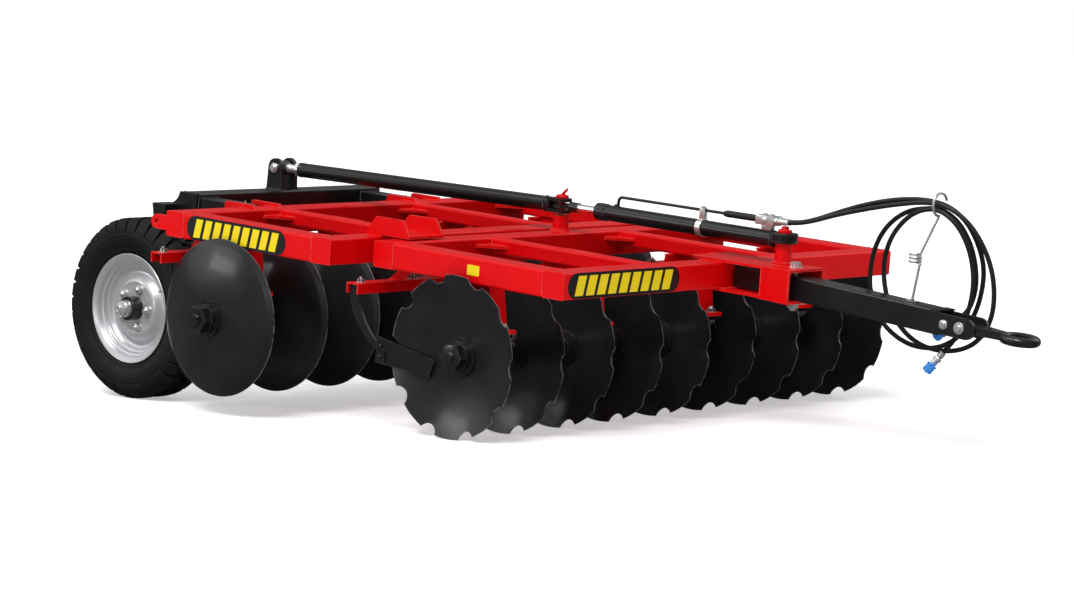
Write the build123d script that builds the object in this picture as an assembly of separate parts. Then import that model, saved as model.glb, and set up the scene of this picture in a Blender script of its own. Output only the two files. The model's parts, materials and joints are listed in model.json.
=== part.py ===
from build123d import *
import math
import os

os.makedirs("parts", exist_ok=True)

# A towed offset disc harrow, in millimetres.
# +X points forward along the tongue, +Y to the machine's left, +Z up.
# Everything is laid out in the machine's own level frame, whose origin lies on the front gang's axis.
# At the end the whole machine is leant nose-down, as it parks on its tyres and its front discs.

# ---------------------------------------------------------------- driving dimensions
# Discs: steel dishes with a flat middle, the front ones notched around their rim.
disc_radius = 305.0
disc_thickness = 6.0
disc_dish = 61.0
disc_flat_radius = 80.0
disc_edge_bevel = 22.0
disc_edge_thickness = 2.0
disc_count = 9
disc_pitch = 285.0
notch_count = 10
notch_radius = 40.0
notch_depth = 27.0

# Gangs: a through axle, spools between the discs, a washer and nut at both ends.
axle_radius = 20.0
axle_bore_clearance = 0.2
spool_flange_radius = 68.0
spool_flange_width = 10.0
spool_waist_radius = 40.0
end_washer_radius = 72.0
end_washer_width = 12.0
end_collar_radius = 56.0
end_collar_width = 16.0
end_nut_width = 92.0
end_nut_height = 36.0
axle_end_length = 14.0
rear_gang_inset = 562.0

# Frames: welded box tube, the slim members shallower than the outer ones.
beam_size = 100.0
beam_wall = 8.0
beam_corner = 10.0
slim_depth = 60.0
inner_width = 60.0
frame_top = 375.0
frame_width = 1985.0
front_frame_front = 490.0
front_frame_length = 953.0
frame_gap = 67.0
rear_frame_length = 913.0
front_disc_inset = 37.0
rear_disc_inset = 15.5
gusset_leg = 90.0
gusset_thickness = 10.0

# Hangers carry the gang bearings under the frames.
hanger_top_half = 85.0
hanger_foot_half = 160.0
hanger_depth = 80.0
hanger_plate = 10.0
hanger_foot_top = 114.0
hanger_foot_thickness = 14.0
hanger_foot_lip = 45.0
bearing_foot_thickness = 14.0
bearing_radius = 62.0
bearing_width = 44.0
running_clearance = 0.08
hanger_bolt_radius = 10.0
hanger_bolt_reach = 135.0
hanger_nut_width = 30.0
hanger_nut_height = 14.0

# Scrapers: a channel under each frame's rear beam, and an arm with a blade for each disc.
front_scraper_reach = 27.0
rear_scraper_inset = 13.0
scraper_bar_top = 212.0
scraper_bar_width = 60.0
scraper_bar_height = 40.0
scraper_bar_wall = 5.0
scraper_bar_overhang = 40.0
scraper_bracket = 12.0
scraper_arm_width = 45.0
scraper_arm_thickness = 10.0
front_scraper_bow = 35.0
rear_scraper_bow = 4.0
scraper_offset = 18.0
front_scraper_root = (-335.0, -20.0)
rear_scraper_root = (-284.0, -20.0)
scraper_tip = (-112.0, -60.0)
scraper_tip_depth = 36.0
scraper_blade_height = 100.0
scraper_blade_thickness = 6.0
scraper_bolt_radius = 8.0
scraper_bolt_rise = 20.0
scraper_nut_width = 26.0
scraper_nut_height = 13.0
scraper_tab_length = 40.0
scraper_bolt_place = 22.0
scraper_bracket_shares = (0.08, 0.5, 0.92)

# Tongue, its clamp and the tow eye.
tongue_side = -92.0
tongue_width = 100.0
tongue_height = 90.0
tongue_wall = 8.0
tongue_length = 938.0
tongue_gap = 15.0
tongue_start_height = 327.0
tongue_droop = 3.05
clamp_width = 216.0
clamp_plate = 10.0
clamp_overlap = 146.0
clamp_reach = 315.0
clamp_side_length = 132.0
clamp_bolt_radius = 12.0
clamp_bolt_inset = 53.0
clamp_nut_width = 36.0
clamp_nut_height = 20.0
spare_hole_reach = 55.0
cheek_thickness = 12.0
cheek_length = 220.0
cheek_overlap = 60.0
cheek_height = 76.0
eye_ring_radius = 57.0
eye_bar_radius = 18.0
eye_reach = 324.0
eye_shank_thickness = 30.0
eye_pin_radius = 11.0
eye_pin_reaches = (29.0, 97.0)

# Posts, the hydraulic cylinder and the lift link on the tongue's line.
post_radius = 32.0
post_foot_radius = 38.0
post_foot_thickness = 12.0
front_post_reach = 200.0
middle_post_inset = 38.0
middle_post_drop = 38.0
line_height = 478.0
front_eye_radius = 50.0
front_eye_drop = 8.0
front_eye_thickness = 37.0
post_pin_radius = 15.0
barrel_radius = 31.0
rod_out_length = 193.0
barrel_front_gap = 38.0
gland_radius = 34.0
gland_length = 46.0
rod_radius = 16.0
rod_stroke = 88.0
rod_room = 220.0
fork_radius = 36.0
fork_thickness = 16.0
fork_neck_radius = 20.0
fork_neck_length = 45.0
fork_neck_gap = 12.0
link_plate_radius = 40.0
link_plate_thickness = 12.0
link_play = 8.5
link_tube_radius = 30.0
link_pin_radius = 14.0
link_pin_play = 3.0
pin_ring_radius = 17.0
pin_ring_wire = 5.0
pin_ring_turn = 30.0
link_eye_radius = 30.0
link_eye_width = 48.0
link_screw_radius = 17.0
link_screw_length = 62.0

# Oil supply: a block in front on the cylinder, a steel pipe to its gland, and two hoses to the tractor.
oil_block_reach = 124.0
oil_block_length = 85.0
oil_block_width = 56.0
oil_block_rise = 50.0
oil_block_height = 36.0
oil_foot_width = 26.0
hose_radius = 9.0
hose_rise = 70.0
hose_pitch = 24.0
hose_nut_radius = 13.0
hose_nut_length = 12.0
pipe_radius = 6.0
sleeve_radius = 10.0
pipe_lift = 68.0
pipe_back_inset = 92.0
pipe_rise_length = 30.0
pipe_bend_radius = 24.0
port_radius = 14.0
port_rise = 10.0
pipe_clamp_inset = 512.0
pipe_clamp_width = 26.0
pipe_clamp_wall = 4.0
sleeve_length = 168.0
holder_wire = 5.0
holder_foot_reach = 627.0
holder_plate_half = 22.0
holder_plate_thickness = 6.0
holder_coil_drop = 78.0
holder_coil_radius = 20.0
holder_coil_pitch = 13.0
holder_coil_turns = 3
hook_offset = (705.0, 12.0, 147.0)
hook_radius = 42.0
hook_sweep = 250.0
coupling_steps = ((13.0, 26.0), (17.0, 12.0), (13.0, 20.0))
cap_radius = 20.0
cap_length = 40.0
cap_edge = 4.0

# The hoses' routes: along from the block, through the hook, one turn beside the tongue, through the hook
# again and down to the coupling. Columns are x, y and z from where each hose leaves the block.
near_hose_route = (
    (0, 0, 0), (65, 0, 0), (149, 1, 17), (257, 2, 55), (387, 5, 93), (527, 9, 128),
    (645, 12, 150), (737, 16, 149), (815, 38, 105), (872, 62, 32), (911, 84, -60), (928, 92, -156),
    (922, 94, -248), (877, 93, -332), (792, 92, -381), (683, 90, -394), (577, 92, -367), (495, 94, -300),
    (445, 94, -206), (434, 84, -102), (473, 62, -3), (550, 34, 76), (629, 16, 120), (705, 15, 132),
    (773, 30, 94), (813, 58, 22), (831, 80, -58), (835, 91, -140), (823, 94, -218), (803, 93, -286),
    (779, 74, -346), (755, 52, -388),
)
far_hose_route = (
    (0, 0, 0), (65, 0, 0), (149, 1, 22), (252, 2, 64), (372, 4, 108), (505, 6, 143),
    (633, 11, 158), (737, 16, 146), (799, 48, 92), (833, 80, 14), (848, 106, -68), (840, 118, -156),
    (815, 120, -252), (755, 120, -340), (663, 120, -394), (559, 120, -402), (465, 118, -372), (391, 114, -312),
    (351, 108, -228), (349, 100, -130), (381, 82, -34), (447, 58, 46), (541, 34, 104), (627, 18, 124),
    (705, 13, 132), (773, 28, 94), (811, 58, 20), (827, 80, -58), (831, 92, -138), (811, 96, -218),
    (777, 94, -258), (745, 92, -286),
)

# Axle frame: cross beam, two arms on lugs behind the rear frame, and a leg beside each wheel.
axle_side = -335.0
axle_half_width = 515.0
cross_beam_reach = 320.0
cross_beam_top = 394.0
axle_hinge_reach = 52.0
axle_hinge_height = 335.0
axle_hinge_pin_radius = 16.0
arm_boss_radius = 42.0
lug_thickness = 20.0
lug_gap = 12.0
lug_rise = 15.0
clevis_ear_thickness = 16.0
clevis_ear_pitch = 77.0
clevis_ear_width = 90.0
clevis_ear_radius = 40.0
clevis_pin_rise = 90.0
clevis_pin_radius = 14.0
leg_plate_thickness = 15.0
leg_size = 72.0
leg_top = 341.0
leg_foot = 12.0
leg_shoulder = (22.0, 38.0)
leg_toe = 25.0
leg_overhang = 80.0
spindle_radius = 30.0

# Wheels.
wheel_inset = 40.0
wheel_height = -68.0
tyre_radius = 365.0
tyre_width = 214.0
tyre_inner_radius = 205.0
tyre_tread_half = 84.0
tyre_shoulder_drop = 14.0
bead_inset = 34.0
tread_slot_count = 34
tread_slot_width = 15.0
tread_slot_start = 40.0
tread_slot_bend = 62.0
tread_slot_slant = 20.0
tread_depth = 10.0
tread_shoulder_depth = 30.0
tread_groove_place = 20.0
tread_groove_half = 4.0
wheel_gap = 16.0
rim_flange_radius = 221.0
rim_seat_radius = 203.0
rim_wall = 6.0
rim_lip = 12.0
rim_disc_depth = 24.0
rim_disc_thickness = 10.0
rim_disc_hollow = 60.0
hub_radius = 46.0
hub_gap = 4.0
hub_flange_radius = 100.0
hub_flange_thickness = 14.0
hub_nose_length = 46.0
hub_collar_radius = 33.0
hub_collar_length = 24.0
hub_nut_width = 48.0
hub_nut_length = 22.0
hub_stud_circle = 80.0
hub_stud_radius = 9.0
hub_stud_length = 34.0
hub_stud_count = 5
stud_nut_width = 28.0
stud_nut_height = 15.0
spindle_length = 157.0
spindle_end_gap = 3.0

# Lug with a hole at the rear frame's right rear corner.
corner_lug_radius = 28.0
corner_lug_hole = 13.0
corner_lug_thickness = 20.0
corner_lug_reach = 59.0
corner_lug_height = 324.0

# Pivot between the two frames, at the left end of their joint.
pivot_inset = 232.0
pivot_knuckle_radius = 28.0
pivot_knuckle_height = 30.0
pivot_play = 5.0
pivot_pin_radius = 14.0

# How far a cutter reaches that goes through everything.
cut_reach = 2000.0

# ---------------------------------------------------------------- places worked out from them
first_front_rim = -(disc_count - 1) / 2 * disc_pitch
first_rear_rim = first_front_rim - disc_pitch / 2
front_right = first_front_rim + front_disc_inset
rear_right = first_rear_rim + rear_disc_inset
front_left = front_right + frame_width
rear_left = rear_right + frame_width
front_frame_back = front_frame_front - front_frame_length
rear_frame_front = front_frame_back - frame_gap
rear_frame_back = rear_frame_front - rear_frame_length
gang_distance = rear_gang_inset - rear_frame_front
frame_bottom = frame_top - beam_size
slim_bottom = frame_top - slim_depth
dish_sphere = (disc_radius**2 + disc_dish**2) / (2 * disc_dish)
front_scraper_place = front_frame_back - front_scraper_reach
rear_scraper_place = rear_frame_back + rear_scraper_inset
tongue_start = front_frame_front + tongue_gap
clamp_back = front_frame_front - clamp_overlap
clamp_front = front_frame_front + clamp_reach
clamp_bolt_place = clamp_front - clamp_bolt_inset
spare_hole_place = front_frame_front + spare_hole_reach
eye_place = tongue_length + eye_reach
eye_pin_places = [tongue_length + reach for reach in eye_pin_reaches]
front_post_place = front_frame_front + front_post_reach
middle_post_place = front_frame_back + middle_post_inset
middle_post_top = line_height - middle_post_drop
barrel_back = middle_post_place + rod_out_length
barrel_front = front_post_place - barrel_front_gap
oil_block_back = front_post_place - oil_block_reach
oil_block_low = line_height + oil_block_rise
pipe_height = line_height + pipe_lift
pipe_back = barrel_back + pipe_back_inset
pipe_clamp_place = barrel_back + pipe_clamp_inset
sleeve_start = oil_block_back - sleeve_length
axle_hinge_place = rear_frame_back - axle_hinge_reach
cross_beam_back = axle_hinge_place - cross_beam_reach
leg_back = cross_beam_back - leg_overhang
wheel_place = cross_beam_back + wheel_inset
corner_lug_place = rear_frame_back - corner_lug_reach
wheel_reach = math.hypot(wheel_place, wheel_height)
nose_down = math.degrees(
    math.asin((tyre_radius - disc_radius) / wheel_reach) + math.atan2(-wheel_height, -wheel_place)
)


# ---------------------------------------------------------------- shape helpers
def block(x0, x1, y0, y1, z0, z1):
    """A box between two corners."""
    size = Box(x1 - x0, y1 - y0, z1 - z0)
    return Pos((x0 + x1) / 2, (y0 + y1) / 2, (z0 + z1) / 2) * size


def beam(x0, x1, y0, y1, z0, z1, along):
    """A capped box tube with rounded long edges; along is its axis."""
    outer = block(x0, x1, y0, y1, z0, z1)
    outer = fillet(outer.edges().filter_by(along), beam_corner)
    inner = block(
        x0 + beam_wall, x1 - beam_wall, y0 + beam_wall, y1 - beam_wall, z0 + beam_wall, z1 - beam_wall
    )
    return outer - inner


def flat_face(outline):
    """A face from corner points, or from edges that close."""
    if isinstance(outline[0], tuple):
        return make_face(Polyline(*outline, close=True))
    return make_face(outline)


def plate_xz(outline, y0, y1):
    """A plate that stands along X, with its outline given as (x, z) points or edges."""
    return extrude(Plane.XZ.offset(-y1) * flat_face(outline), amount=y1 - y0)


def plate_xy(outline, z0, z1):
    """A plate that lies flat, with its outline given as (x, y) points or edges."""
    return extrude(Plane.XY.offset(z0) * flat_face(outline), amount=z1 - z0)


def turned(profile):
    """A solid turned about Y from closed (radius, y) points."""
    return revolve(make_face(Polyline(*profile, close=True)), Axis.Y)


def rod_y(x, z, y0, y1, radius):
    """A round bar along Y."""
    return Pos(x, (y0 + y1) / 2, z) * Rot(90, 0, 0) * Cylinder(radius, y1 - y0)


def rod_x(y, z, x0, x1, radius):
    """A round bar along X."""
    return Pos((x0 + x1) / 2, y, z) * Rot(0, 90, 0) * Cylinder(radius, x1 - x0)


def rod_z(x, y, z0, z1, radius):
    """A round bar along Z."""
    return Pos(x, y, (z0 + z1) / 2) * Cylinder(radius, z1 - z0)


def bore_y(x, z, radius):
    """A cutter along Y through everything."""
    return rod_y(x, z, -cut_reach, cut_reach, radius)


def bore_z(x, y, radius):
    """A cutter along Z through everything."""
    return rod_z(x, y, -cut_reach, cut_reach, radius)


def hex_z(x, y, z0, z1, across):
    """A hexagon nut or bolt head along Z, across its flats."""
    outline = RegularPolygon(across / 2, 6, major_radius=False)
    return extrude(Pos(x, y, z0) * outline, amount=z1 - z0)


def nut_y(x, z, start, way, across, height):
    """A hexagon nut along Y from start."""
    nut = extrude(RegularPolygon(across / 2, 6, major_radius=False), amount=height)
    return Pos(x, start, z) * Rot(-90 * way, 0, 0) * nut


def joined(*solids):
    """One fused solid."""
    whole = solids[0]
    for solid in solids[1:]:
        whole = whole + solid
    return whole


def ladder(right, left, back, front, inner_places):
    """The beams of one frame; inner_places are the inner members' right faces from its right face."""
    inside = (back + beam_size, front - beam_size)
    beams = {
        "front_beam": beam(front - beam_size, front, right, left, frame_bottom, frame_top, Axis.Y),
        "rear_beam": beam(back, back + beam_size, right, left, frame_bottom, frame_top, Axis.Y),
        "right_beam": beam(*inside, right, right + beam_size, frame_bottom, frame_top, Axis.X),
        "left_beam": beam(*inside, left - beam_size, left, slim_bottom, frame_top, Axis.X),
    }
    faces = [right + place for place in inner_places]
    beams["inner_beams"] = Compound(
        [beam(*inside, face, face + inner_width, slim_bottom, frame_top, Axis.X) for face in faces]
    )
    return beams


def corner_gusset(x, y, x_way, y_way):
    """A flat triangle welded into an inside corner of a frame."""
    outline = [(x, y), (x + x_way * gusset_leg, y), (x, y + y_way * gusset_leg)]
    middle = frame_top - slim_depth / 2
    return plate_xy(outline, middle - gusset_thickness / 2, middle + gusset_thickness / 2)


# ---------------------------------------------------------------- frames
inner_places_front = (543.0, 1303.0)
inner_places_rear = (517.0, 1287.0)
front_beams = ladder(front_right, front_left, front_frame_back, front_frame_front, inner_places_front)
rear_beams = ladder(rear_right, rear_left, rear_frame_back, rear_frame_front, inner_places_rear)
for beams, right, left, back, places in (
    (front_beams, front_right, front_left, front_frame_back, inner_places_front),
    (rear_beams, rear_right, rear_left, rear_frame_back, inner_places_rear),
):
    corners = [right + place for place in places] + [left - beam_size]
    beams["gussets"] = Compound([corner_gusset(back + beam_size, y, 1, -1) for y in corners])


# ---------------------------------------------------------------- pivot between the frames
pivot_x = front_frame_back - frame_gap / 2
pivot_y = front_left - pivot_inset
knuckle_low = frame_bottom + pivot_play


def knuckle(z0, wall_x):
    """One hinge knuckle: an eye round the pivot with a web back to its beam's face."""
    z1 = z0 + pivot_knuckle_height
    eye = rod_z(pivot_x, pivot_y, z0, z1, pivot_knuckle_radius)
    x0, x1 = sorted((pivot_x, wall_x))
    web = block(x0, x1, pivot_y - pivot_knuckle_radius, pivot_y + pivot_knuckle_radius, z0, z1)
    return eye + web


knuckle_pitch = pivot_knuckle_height + 0.3
front_knuckles = [knuckle(knuckle_low + step * knuckle_pitch, front_frame_back) for step in (0, 2)]
pivot_top = knuckle_low + 3 * knuckle_pitch
pivot_hole = rod_z(pivot_x, pivot_y, frame_bottom, frame_top + beam_size, pivot_pin_radius)
front_beams["rear_beam"] = joined(front_beams["rear_beam"], *front_knuckles) - pivot_hole
rear_bore = rod_z(pivot_x, pivot_y, frame_bottom, frame_top, pivot_pin_radius + running_clearance)
rear_beams["front_beam"] = rear_beams["front_beam"] + (
    knuckle(knuckle_low + knuckle_pitch, rear_frame_front) - rear_bore
)
pivot_pin = rod_z(pivot_x, pivot_y, knuckle_low - 12, pivot_top, pivot_pin_radius) + rod_z(
    pivot_x, pivot_y, pivot_top, pivot_top + 12, pivot_pin_radius + 8
)

# ---------------------------------------------------------------- guide bracket at the right end
guide_right = rear_right + 270.0
guide_width = 190.0
guide_reach = 78.0
guide_lift = 6.0
guide_plate = 10.0
guide_ear_height = 58.0
guide_ear_cuts = (45.0, 40.0)
guide_back = rear_frame_front - beam_size * 0.8
guide_front = front_frame_back + guide_reach
guide_web = block(
    guide_back, guide_front, guide_right, guide_right + guide_width,
    frame_top + guide_lift, frame_top + guide_lift + guide_plate,
)
guide_foot = block(
    guide_back, rear_frame_front, guide_right, guide_right + guide_width, frame_top, frame_top + guide_lift
)
guide_ears = []
for y in (guide_right, guide_right + guide_width - guide_plate):
    base = frame_top + guide_lift + guide_plate
    outline = [
        (guide_back, base), (guide_front, base), (guide_front - guide_ear_cuts[1], base + guide_ear_height),
        (guide_back + guide_ear_cuts[0], base + guide_ear_height),
    ]
    guide_ears.append(plate_xz(outline, y, y + guide_plate))
frame_guide = joined(guide_foot, guide_web, *guide_ears)


# ---------------------------------------------------------------- discs and gangs
def dish(radius):
    """How far the hollow face lies from the rim's plane at a radius."""
    return math.sqrt(dish_sphere**2 - radius**2) - (dish_sphere - disc_dish)


def disc(rim, way, notched):
    """One disc about Y: rim is its rim plane, and way (1 or -1) points from there to its back."""
    middle = (disc_flat_radius + disc_radius) / 2
    edge = disc_radius - disc_edge_bevel
    back_middle = (disc_flat_radius + edge) / 2
    bore = axle_radius + axle_bore_clearance
    hollow = [(disc_flat_radius, dish(disc_flat_radius)), (middle, dish(middle)), (disc_radius, 0)]
    back = [
        (edge, dish(edge) + disc_thickness),
        (back_middle, dish(back_middle) + disc_thickness),
        (disc_flat_radius, dish(disc_flat_radius) + disc_thickness),
    ]
    hollow, back = ([(r, rim + way * depth) for r, depth in side] for side in (hollow, back))
    outline = [
        Line((bore, hollow[0][1]), hollow[0]),
        ThreePointArc(*hollow),
        Line(hollow[2], (disc_radius, rim + way * disc_edge_thickness)),
        Line((disc_radius, rim + way * disc_edge_thickness), back[0]),
        ThreePointArc(*back),
        Line(back[2], (bore, back[2][1])),
        Line((bore, back[2][1]), (bore, hollow[0][1])),
    ]
    shape = revolve(make_face(outline), Axis.Y)
    if notched:
        reach = disc_radius - notch_depth + notch_radius
        for number in range(notch_count):
            turn = (number + 0.5) * 2 * math.pi / notch_count + math.pi / 2
            x, z = reach * math.cos(turn), reach * math.sin(turn)
            ends = sorted((rim - way * disc_dish, rim + way * 2 * disc_dish))
            shape = shape - rod_y(x, z, *ends, notch_radius)
    return shape


flat_depth = dish(disc_flat_radius)


def gang_axle(rims, way):
    """A gang's axle with its spools, end washers, collars and nuts, about Y."""
    first, last = (min(rims), max(rims))
    if way > 0:
        low_face = first + flat_depth
        high_face = last + flat_depth + disc_thickness
    else:
        low_face = first - flat_depth - disc_thickness
        high_face = last - flat_depth
    solids = [rod_y(0, 0, low_face - 1, high_face + 1, axle_radius)]
    for rim in rims[:-1]:
        start = rim + (flat_depth + disc_thickness if way > 0 else -flat_depth)
        end = start + disc_pitch - disc_thickness
        solids.append(
            turned(
                [
                    (0, start), (spool_flange_radius, start),
                    (spool_flange_radius, start + spool_flange_width),
                    (spool_waist_radius, start + 2 * spool_flange_width),
                    (spool_waist_radius, end - 2 * spool_flange_width),
                    (spool_flange_radius, end - spool_flange_width),
                    (spool_flange_radius, end), (0, end),
                ]
            )
        )
    for face, out in ((low_face, -1), (high_face, 1)):
        steps = (
            (end_washer_radius, end_washer_width),
            (end_collar_radius, end_collar_width),
        )
        for radius, width in steps:
            ends = sorted((face, face + out * width))
            solids.append(rod_y(0, 0, *ends, radius))
            face += out * width
        solids.append(nut_y(0, 0, face, out, end_nut_width, end_nut_height))
        ends = sorted((face, face + out * (end_nut_height + axle_end_length)))
        solids.append(rod_y(0, 0, *ends, axle_radius))
    return joined(*solids)


front_rims = [first_front_rim + number * disc_pitch for number in range(disc_count)]
rear_rims = [first_rear_rim + number * disc_pitch for number in range(disc_count)]
one_front_disc = disc(0, 1, True)
one_rear_disc = disc(0, -1, False)
front_discs = Compound([Pos(0, rim, 0) * one_front_disc for rim in front_rims])
rear_discs = Compound([Pos(-gang_distance, rim, 0) * one_rear_disc for rim in rear_rims])
front_axle = gang_axle(front_rims, 1)
rear_axle = Pos(-gang_distance, 0, 0) * gang_axle(rear_rims, -1)

# ---------------------------------------------------------------- hangers and bearings
# Each hanger's middle is given from its frame's right face; all stand under or beside a lengthways beam.
front_hanger_places = (93.0, 643.0, 1303.0, frame_width - 92.0)
rear_hanger_places = (67.0, 617.0, 1297.0, frame_width - 118.0)


def hanger(y, top):
    """A gang hanger: a web with two slanting flanges on a foot plate."""
    y0, y1 = y - hanger_depth / 2, y + hanger_depth / 2
    foot = block(
        -hanger_foot_half, hanger_foot_half, y0, y1, hanger_foot_top - hanger_foot_thickness, hanger_foot_top
    )
    foot_half = hanger_foot_half - hanger_foot_lip
    outline = [
        (-foot_half, hanger_foot_top), (foot_half, hanger_foot_top), (hanger_top_half, top),
        (-hanger_top_half, top),
    ]
    web = plate_xz(outline, y1 - hanger_plate, y1)
    flanges = []
    for way in (-1, 1):
        flange = [
            (way * foot_half, hanger_foot_top), (way * hanger_top_half, top),
            (way * (hanger_top_half - hanger_plate), top), (way * (foot_half - hanger_plate), hanger_foot_top),
        ]
        flanges.append(plate_xz(flange, y0, y1))
    return joined(foot, web, *flanges)


def bearing(y):
    """A gang bearing: a round housing under a bolted foot, open to the spool it holds."""
    y0, y1 = y - bearing_width / 2, y + bearing_width / 2
    top = hanger_foot_top - hanger_foot_thickness
    foot = block(-hanger_foot_half, hanger_foot_half, y0, y1, top - bearing_foot_thickness, top)
    neck = block(-bearing_radius, bearing_radius, y0, y1, 0, top - bearing_foot_thickness)
    housing = joined(foot, neck, rod_y(0, 0, y0, y1, bearing_radius))
    housing = housing - rod_y(0, 0, y0, y1, spool_waist_radius + running_clearance)
    bolts = []
    for way in (-1, 1):
        x = way * hanger_bolt_reach
        low = top - bearing_foot_thickness
        bolts.append(rod_z(x, y, low - hanger_nut_height - 8, hanger_foot_top + 8, hanger_bolt_radius))
        bolts.append(hex_z(x, y, low - hanger_nut_height, low, hanger_nut_width))
        bolts.append(hex_z(x, y, hanger_foot_top, hanger_foot_top + hanger_nut_height, hanger_nut_width))
    foot_hole = [bore_z(way * hanger_bolt_reach, y, hanger_bolt_radius) for way in (-1, 1)]
    return joined(housing - foot_hole, *bolts)


def hanger_set(places, right, beam_tops, x):
    """The hangers and the bearings of one gang."""
    hangers = []
    bearings = []
    for place, top in zip(places, beam_tops):
        hanging = hanger(right + place, top)
        for way in (-1, 1):
            hanging = hanging - bore_z(way * hanger_bolt_reach, right + place, hanger_bolt_radius)
        hangers.append(Pos(x, 0, 0) * hanging)
        bearings.append(Pos(x, 0, 0) * bearing(right + place))
    return Compound(hangers), Compound(bearings)


hanger_tops = (frame_bottom, frame_top - 12, slim_bottom, slim_bottom)
front_hangers, front_bearings = hanger_set(front_hanger_places, front_right, hanger_tops, 0)
rear_hangers, rear_bearings = hanger_set(rear_hanger_places, rear_right, hanger_tops, -gang_distance)


# ---------------------------------------------------------------- scrapers
def scraper_bar(x, first, last, right, left, back):
    """The channel that carries one gang's scrapers, with its brackets up to the beam above."""
    x0, x1 = x - scraper_bar_width / 2, x + scraper_bar_width / 2
    z0 = scraper_bar_top - scraper_bar_height
    wall = scraper_bar_wall
    channel = block(x0, x1, first, last, z0, scraper_bar_top)
    channel = channel - block(x0 + wall, x1 - wall, first, last, z0, scraper_bar_top - wall)
    brackets = []
    for share in scraper_bracket_shares:
        y = right + share * (left - right)
        outline = [
            (x0, scraper_bar_top), (x1, scraper_bar_top), (back + 80, frame_bottom), (back + 15, frame_bottom)
        ]
        brackets.append(plate_xz(outline, y - scraper_bracket / 2, y + scraper_bracket / 2))
    return joined(channel, *brackets)


def scraper(bar_x, way, root, bow):
    """One scraper beside a rim plane at y = 0; way (1 or -1) points from the rim plane to the disc's back."""
    bottom = scraper_bar_top - scraper_bar_height
    half = scraper_arm_width / 2
    root_x, root_z = root
    top_z = scraper_bar_top - scraper_bar_wall
    middle = ((bar_x + root_x) / 2 - bow, (bottom + root_z) / 2)
    outline = [
        Line((bar_x - half, top_z), (bar_x - half, bottom)),
        ThreePointArc((bar_x - half, bottom), (middle[0] - half, middle[1]), (root_x - half, root_z)),
        Line((root_x - half, root_z), (root_x - half, root_z - scraper_blade_height / 2)),
        Line((root_x - half, root_z - scraper_blade_height / 2), (root_x + half, root_z - scraper_blade_height / 2)),
        Line((root_x + half, root_z - scraper_blade_height / 2), (root_x + half, root_z)),
        ThreePointArc((root_x + half, root_z), (middle[0] + half, middle[1]), (bar_x + half, bottom)),
        Line((bar_x + half, bottom), (bar_x + half, top_z)),
        Line((bar_x + half, top_z), (bar_x - half, top_z)),
    ]
    near, far = sorted((-way * scraper_offset, -way * (scraper_offset + scraper_arm_thickness)))
    arm = plate_xz(outline, near, far)
    tip_x, tip_z = scraper_tip
    reach = math.hypot(tip_x - root_x, scraper_tip_depth + scraper_offset)
    turn = math.degrees(math.atan2(scraper_tip_depth + scraper_offset, tip_x - root_x))
    blade_outline = [
        (-half, root_z + scraper_blade_height / 2), (-half, root_z - scraper_blade_height / 2),
        (reach - 20, tip_z - 35), (reach, tip_z + 30),
    ]
    blade = plate_xz(blade_outline, -scraper_blade_thickness / 2, scraper_blade_thickness / 2)
    blade = Pos(root_x, -way * (scraper_offset + scraper_blade_thickness / 2), 0) * Rot(0, 0, way * turn) * blade
    tab_y = sorted((-way * scraper_offset, -way * (scraper_offset - scraper_tab_length)))
    tab = block(bar_x - half, bar_x + half, *tab_y, top_z - scraper_arm_thickness, top_z)
    bolt_y = -way * (scraper_offset - scraper_bolt_place)
    bolt_top = scraper_bar_top + scraper_bolt_rise
    bolt = rod_z(bar_x, bolt_y, top_z - 30, bolt_top, scraper_bolt_radius)
    nut_top = scraper_bar_top + scraper_nut_height
    head = hex_z(bar_x, bolt_y, scraper_bar_top, nut_top, scraper_nut_width)
    return joined(arm, blade, tab, bolt, head)


def scraper_set(rims, way, right, left, back, bar_x, gang_x, root, bow):
    """A gang's scraper bar and its scrapers."""
    first, last = min(rims) - scraper_bar_overhang, max(rims) + scraper_bar_overhang
    one = scraper(bar_x - gang_x, way, root, bow)
    scrapers = Compound([Pos(gang_x, rim, 0) * one for rim in rims])
    bar = scraper_bar(bar_x, first, last, right, left, back)
    for rim in rims:
        y = rim - way * (scraper_offset - scraper_bolt_place)
        bar = bar - rod_z(bar_x, y, 0, frame_bottom, scraper_bolt_radius)
    return bar, scrapers


front_scraper_bar, front_scrapers = scraper_set(
    front_rims, 1, front_right, front_left, front_frame_back, front_scraper_place, 0,
    front_scraper_root, front_scraper_bow,
)
rear_scraper_bar, rear_scrapers = scraper_set(
    rear_rims, -1, rear_right, rear_left, rear_frame_back, rear_scraper_place, -gang_distance,
    rear_scraper_root, rear_scraper_bow,
)

# ---------------------------------------------------------------- tongue clamp
clamp_right = tongue_side - clamp_width / 2
clamp_left = tongue_side + clamp_width / 2
beam_front = front_frame_front
side_back = clamp_front - clamp_side_length
clamp_top = block(clamp_back, clamp_front, clamp_right, clamp_left, frame_top, frame_top + clamp_plate)
droop_slope = math.tan(math.radians(tongue_droop))
tongue_drop = tongue_start_height - tongue_height / 2 / math.cos(math.radians(tongue_droop))
clamp_bend = tongue_start + (tongue_drop - frame_bottom) / droop_slope
clamp_tip = tongue_drop - (clamp_front - tongue_start) * droop_slope
clamp_bottom = plate_xz(
    [
        (beam_front - beam_size, frame_bottom), (clamp_bend, frame_bottom), (clamp_front, clamp_tip),
        (clamp_front, clamp_tip - clamp_plate), (clamp_bend, frame_bottom - clamp_plate),
        (beam_front - beam_size, frame_bottom - clamp_plate),
    ],
    clamp_right, clamp_left,
)
clamp_sides = [
    block(side_back, clamp_front, y, y + clamp_plate, clamp_tip - clamp_plate / 2, frame_top)
    for y in (clamp_right, clamp_left - clamp_plate)
]
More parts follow.
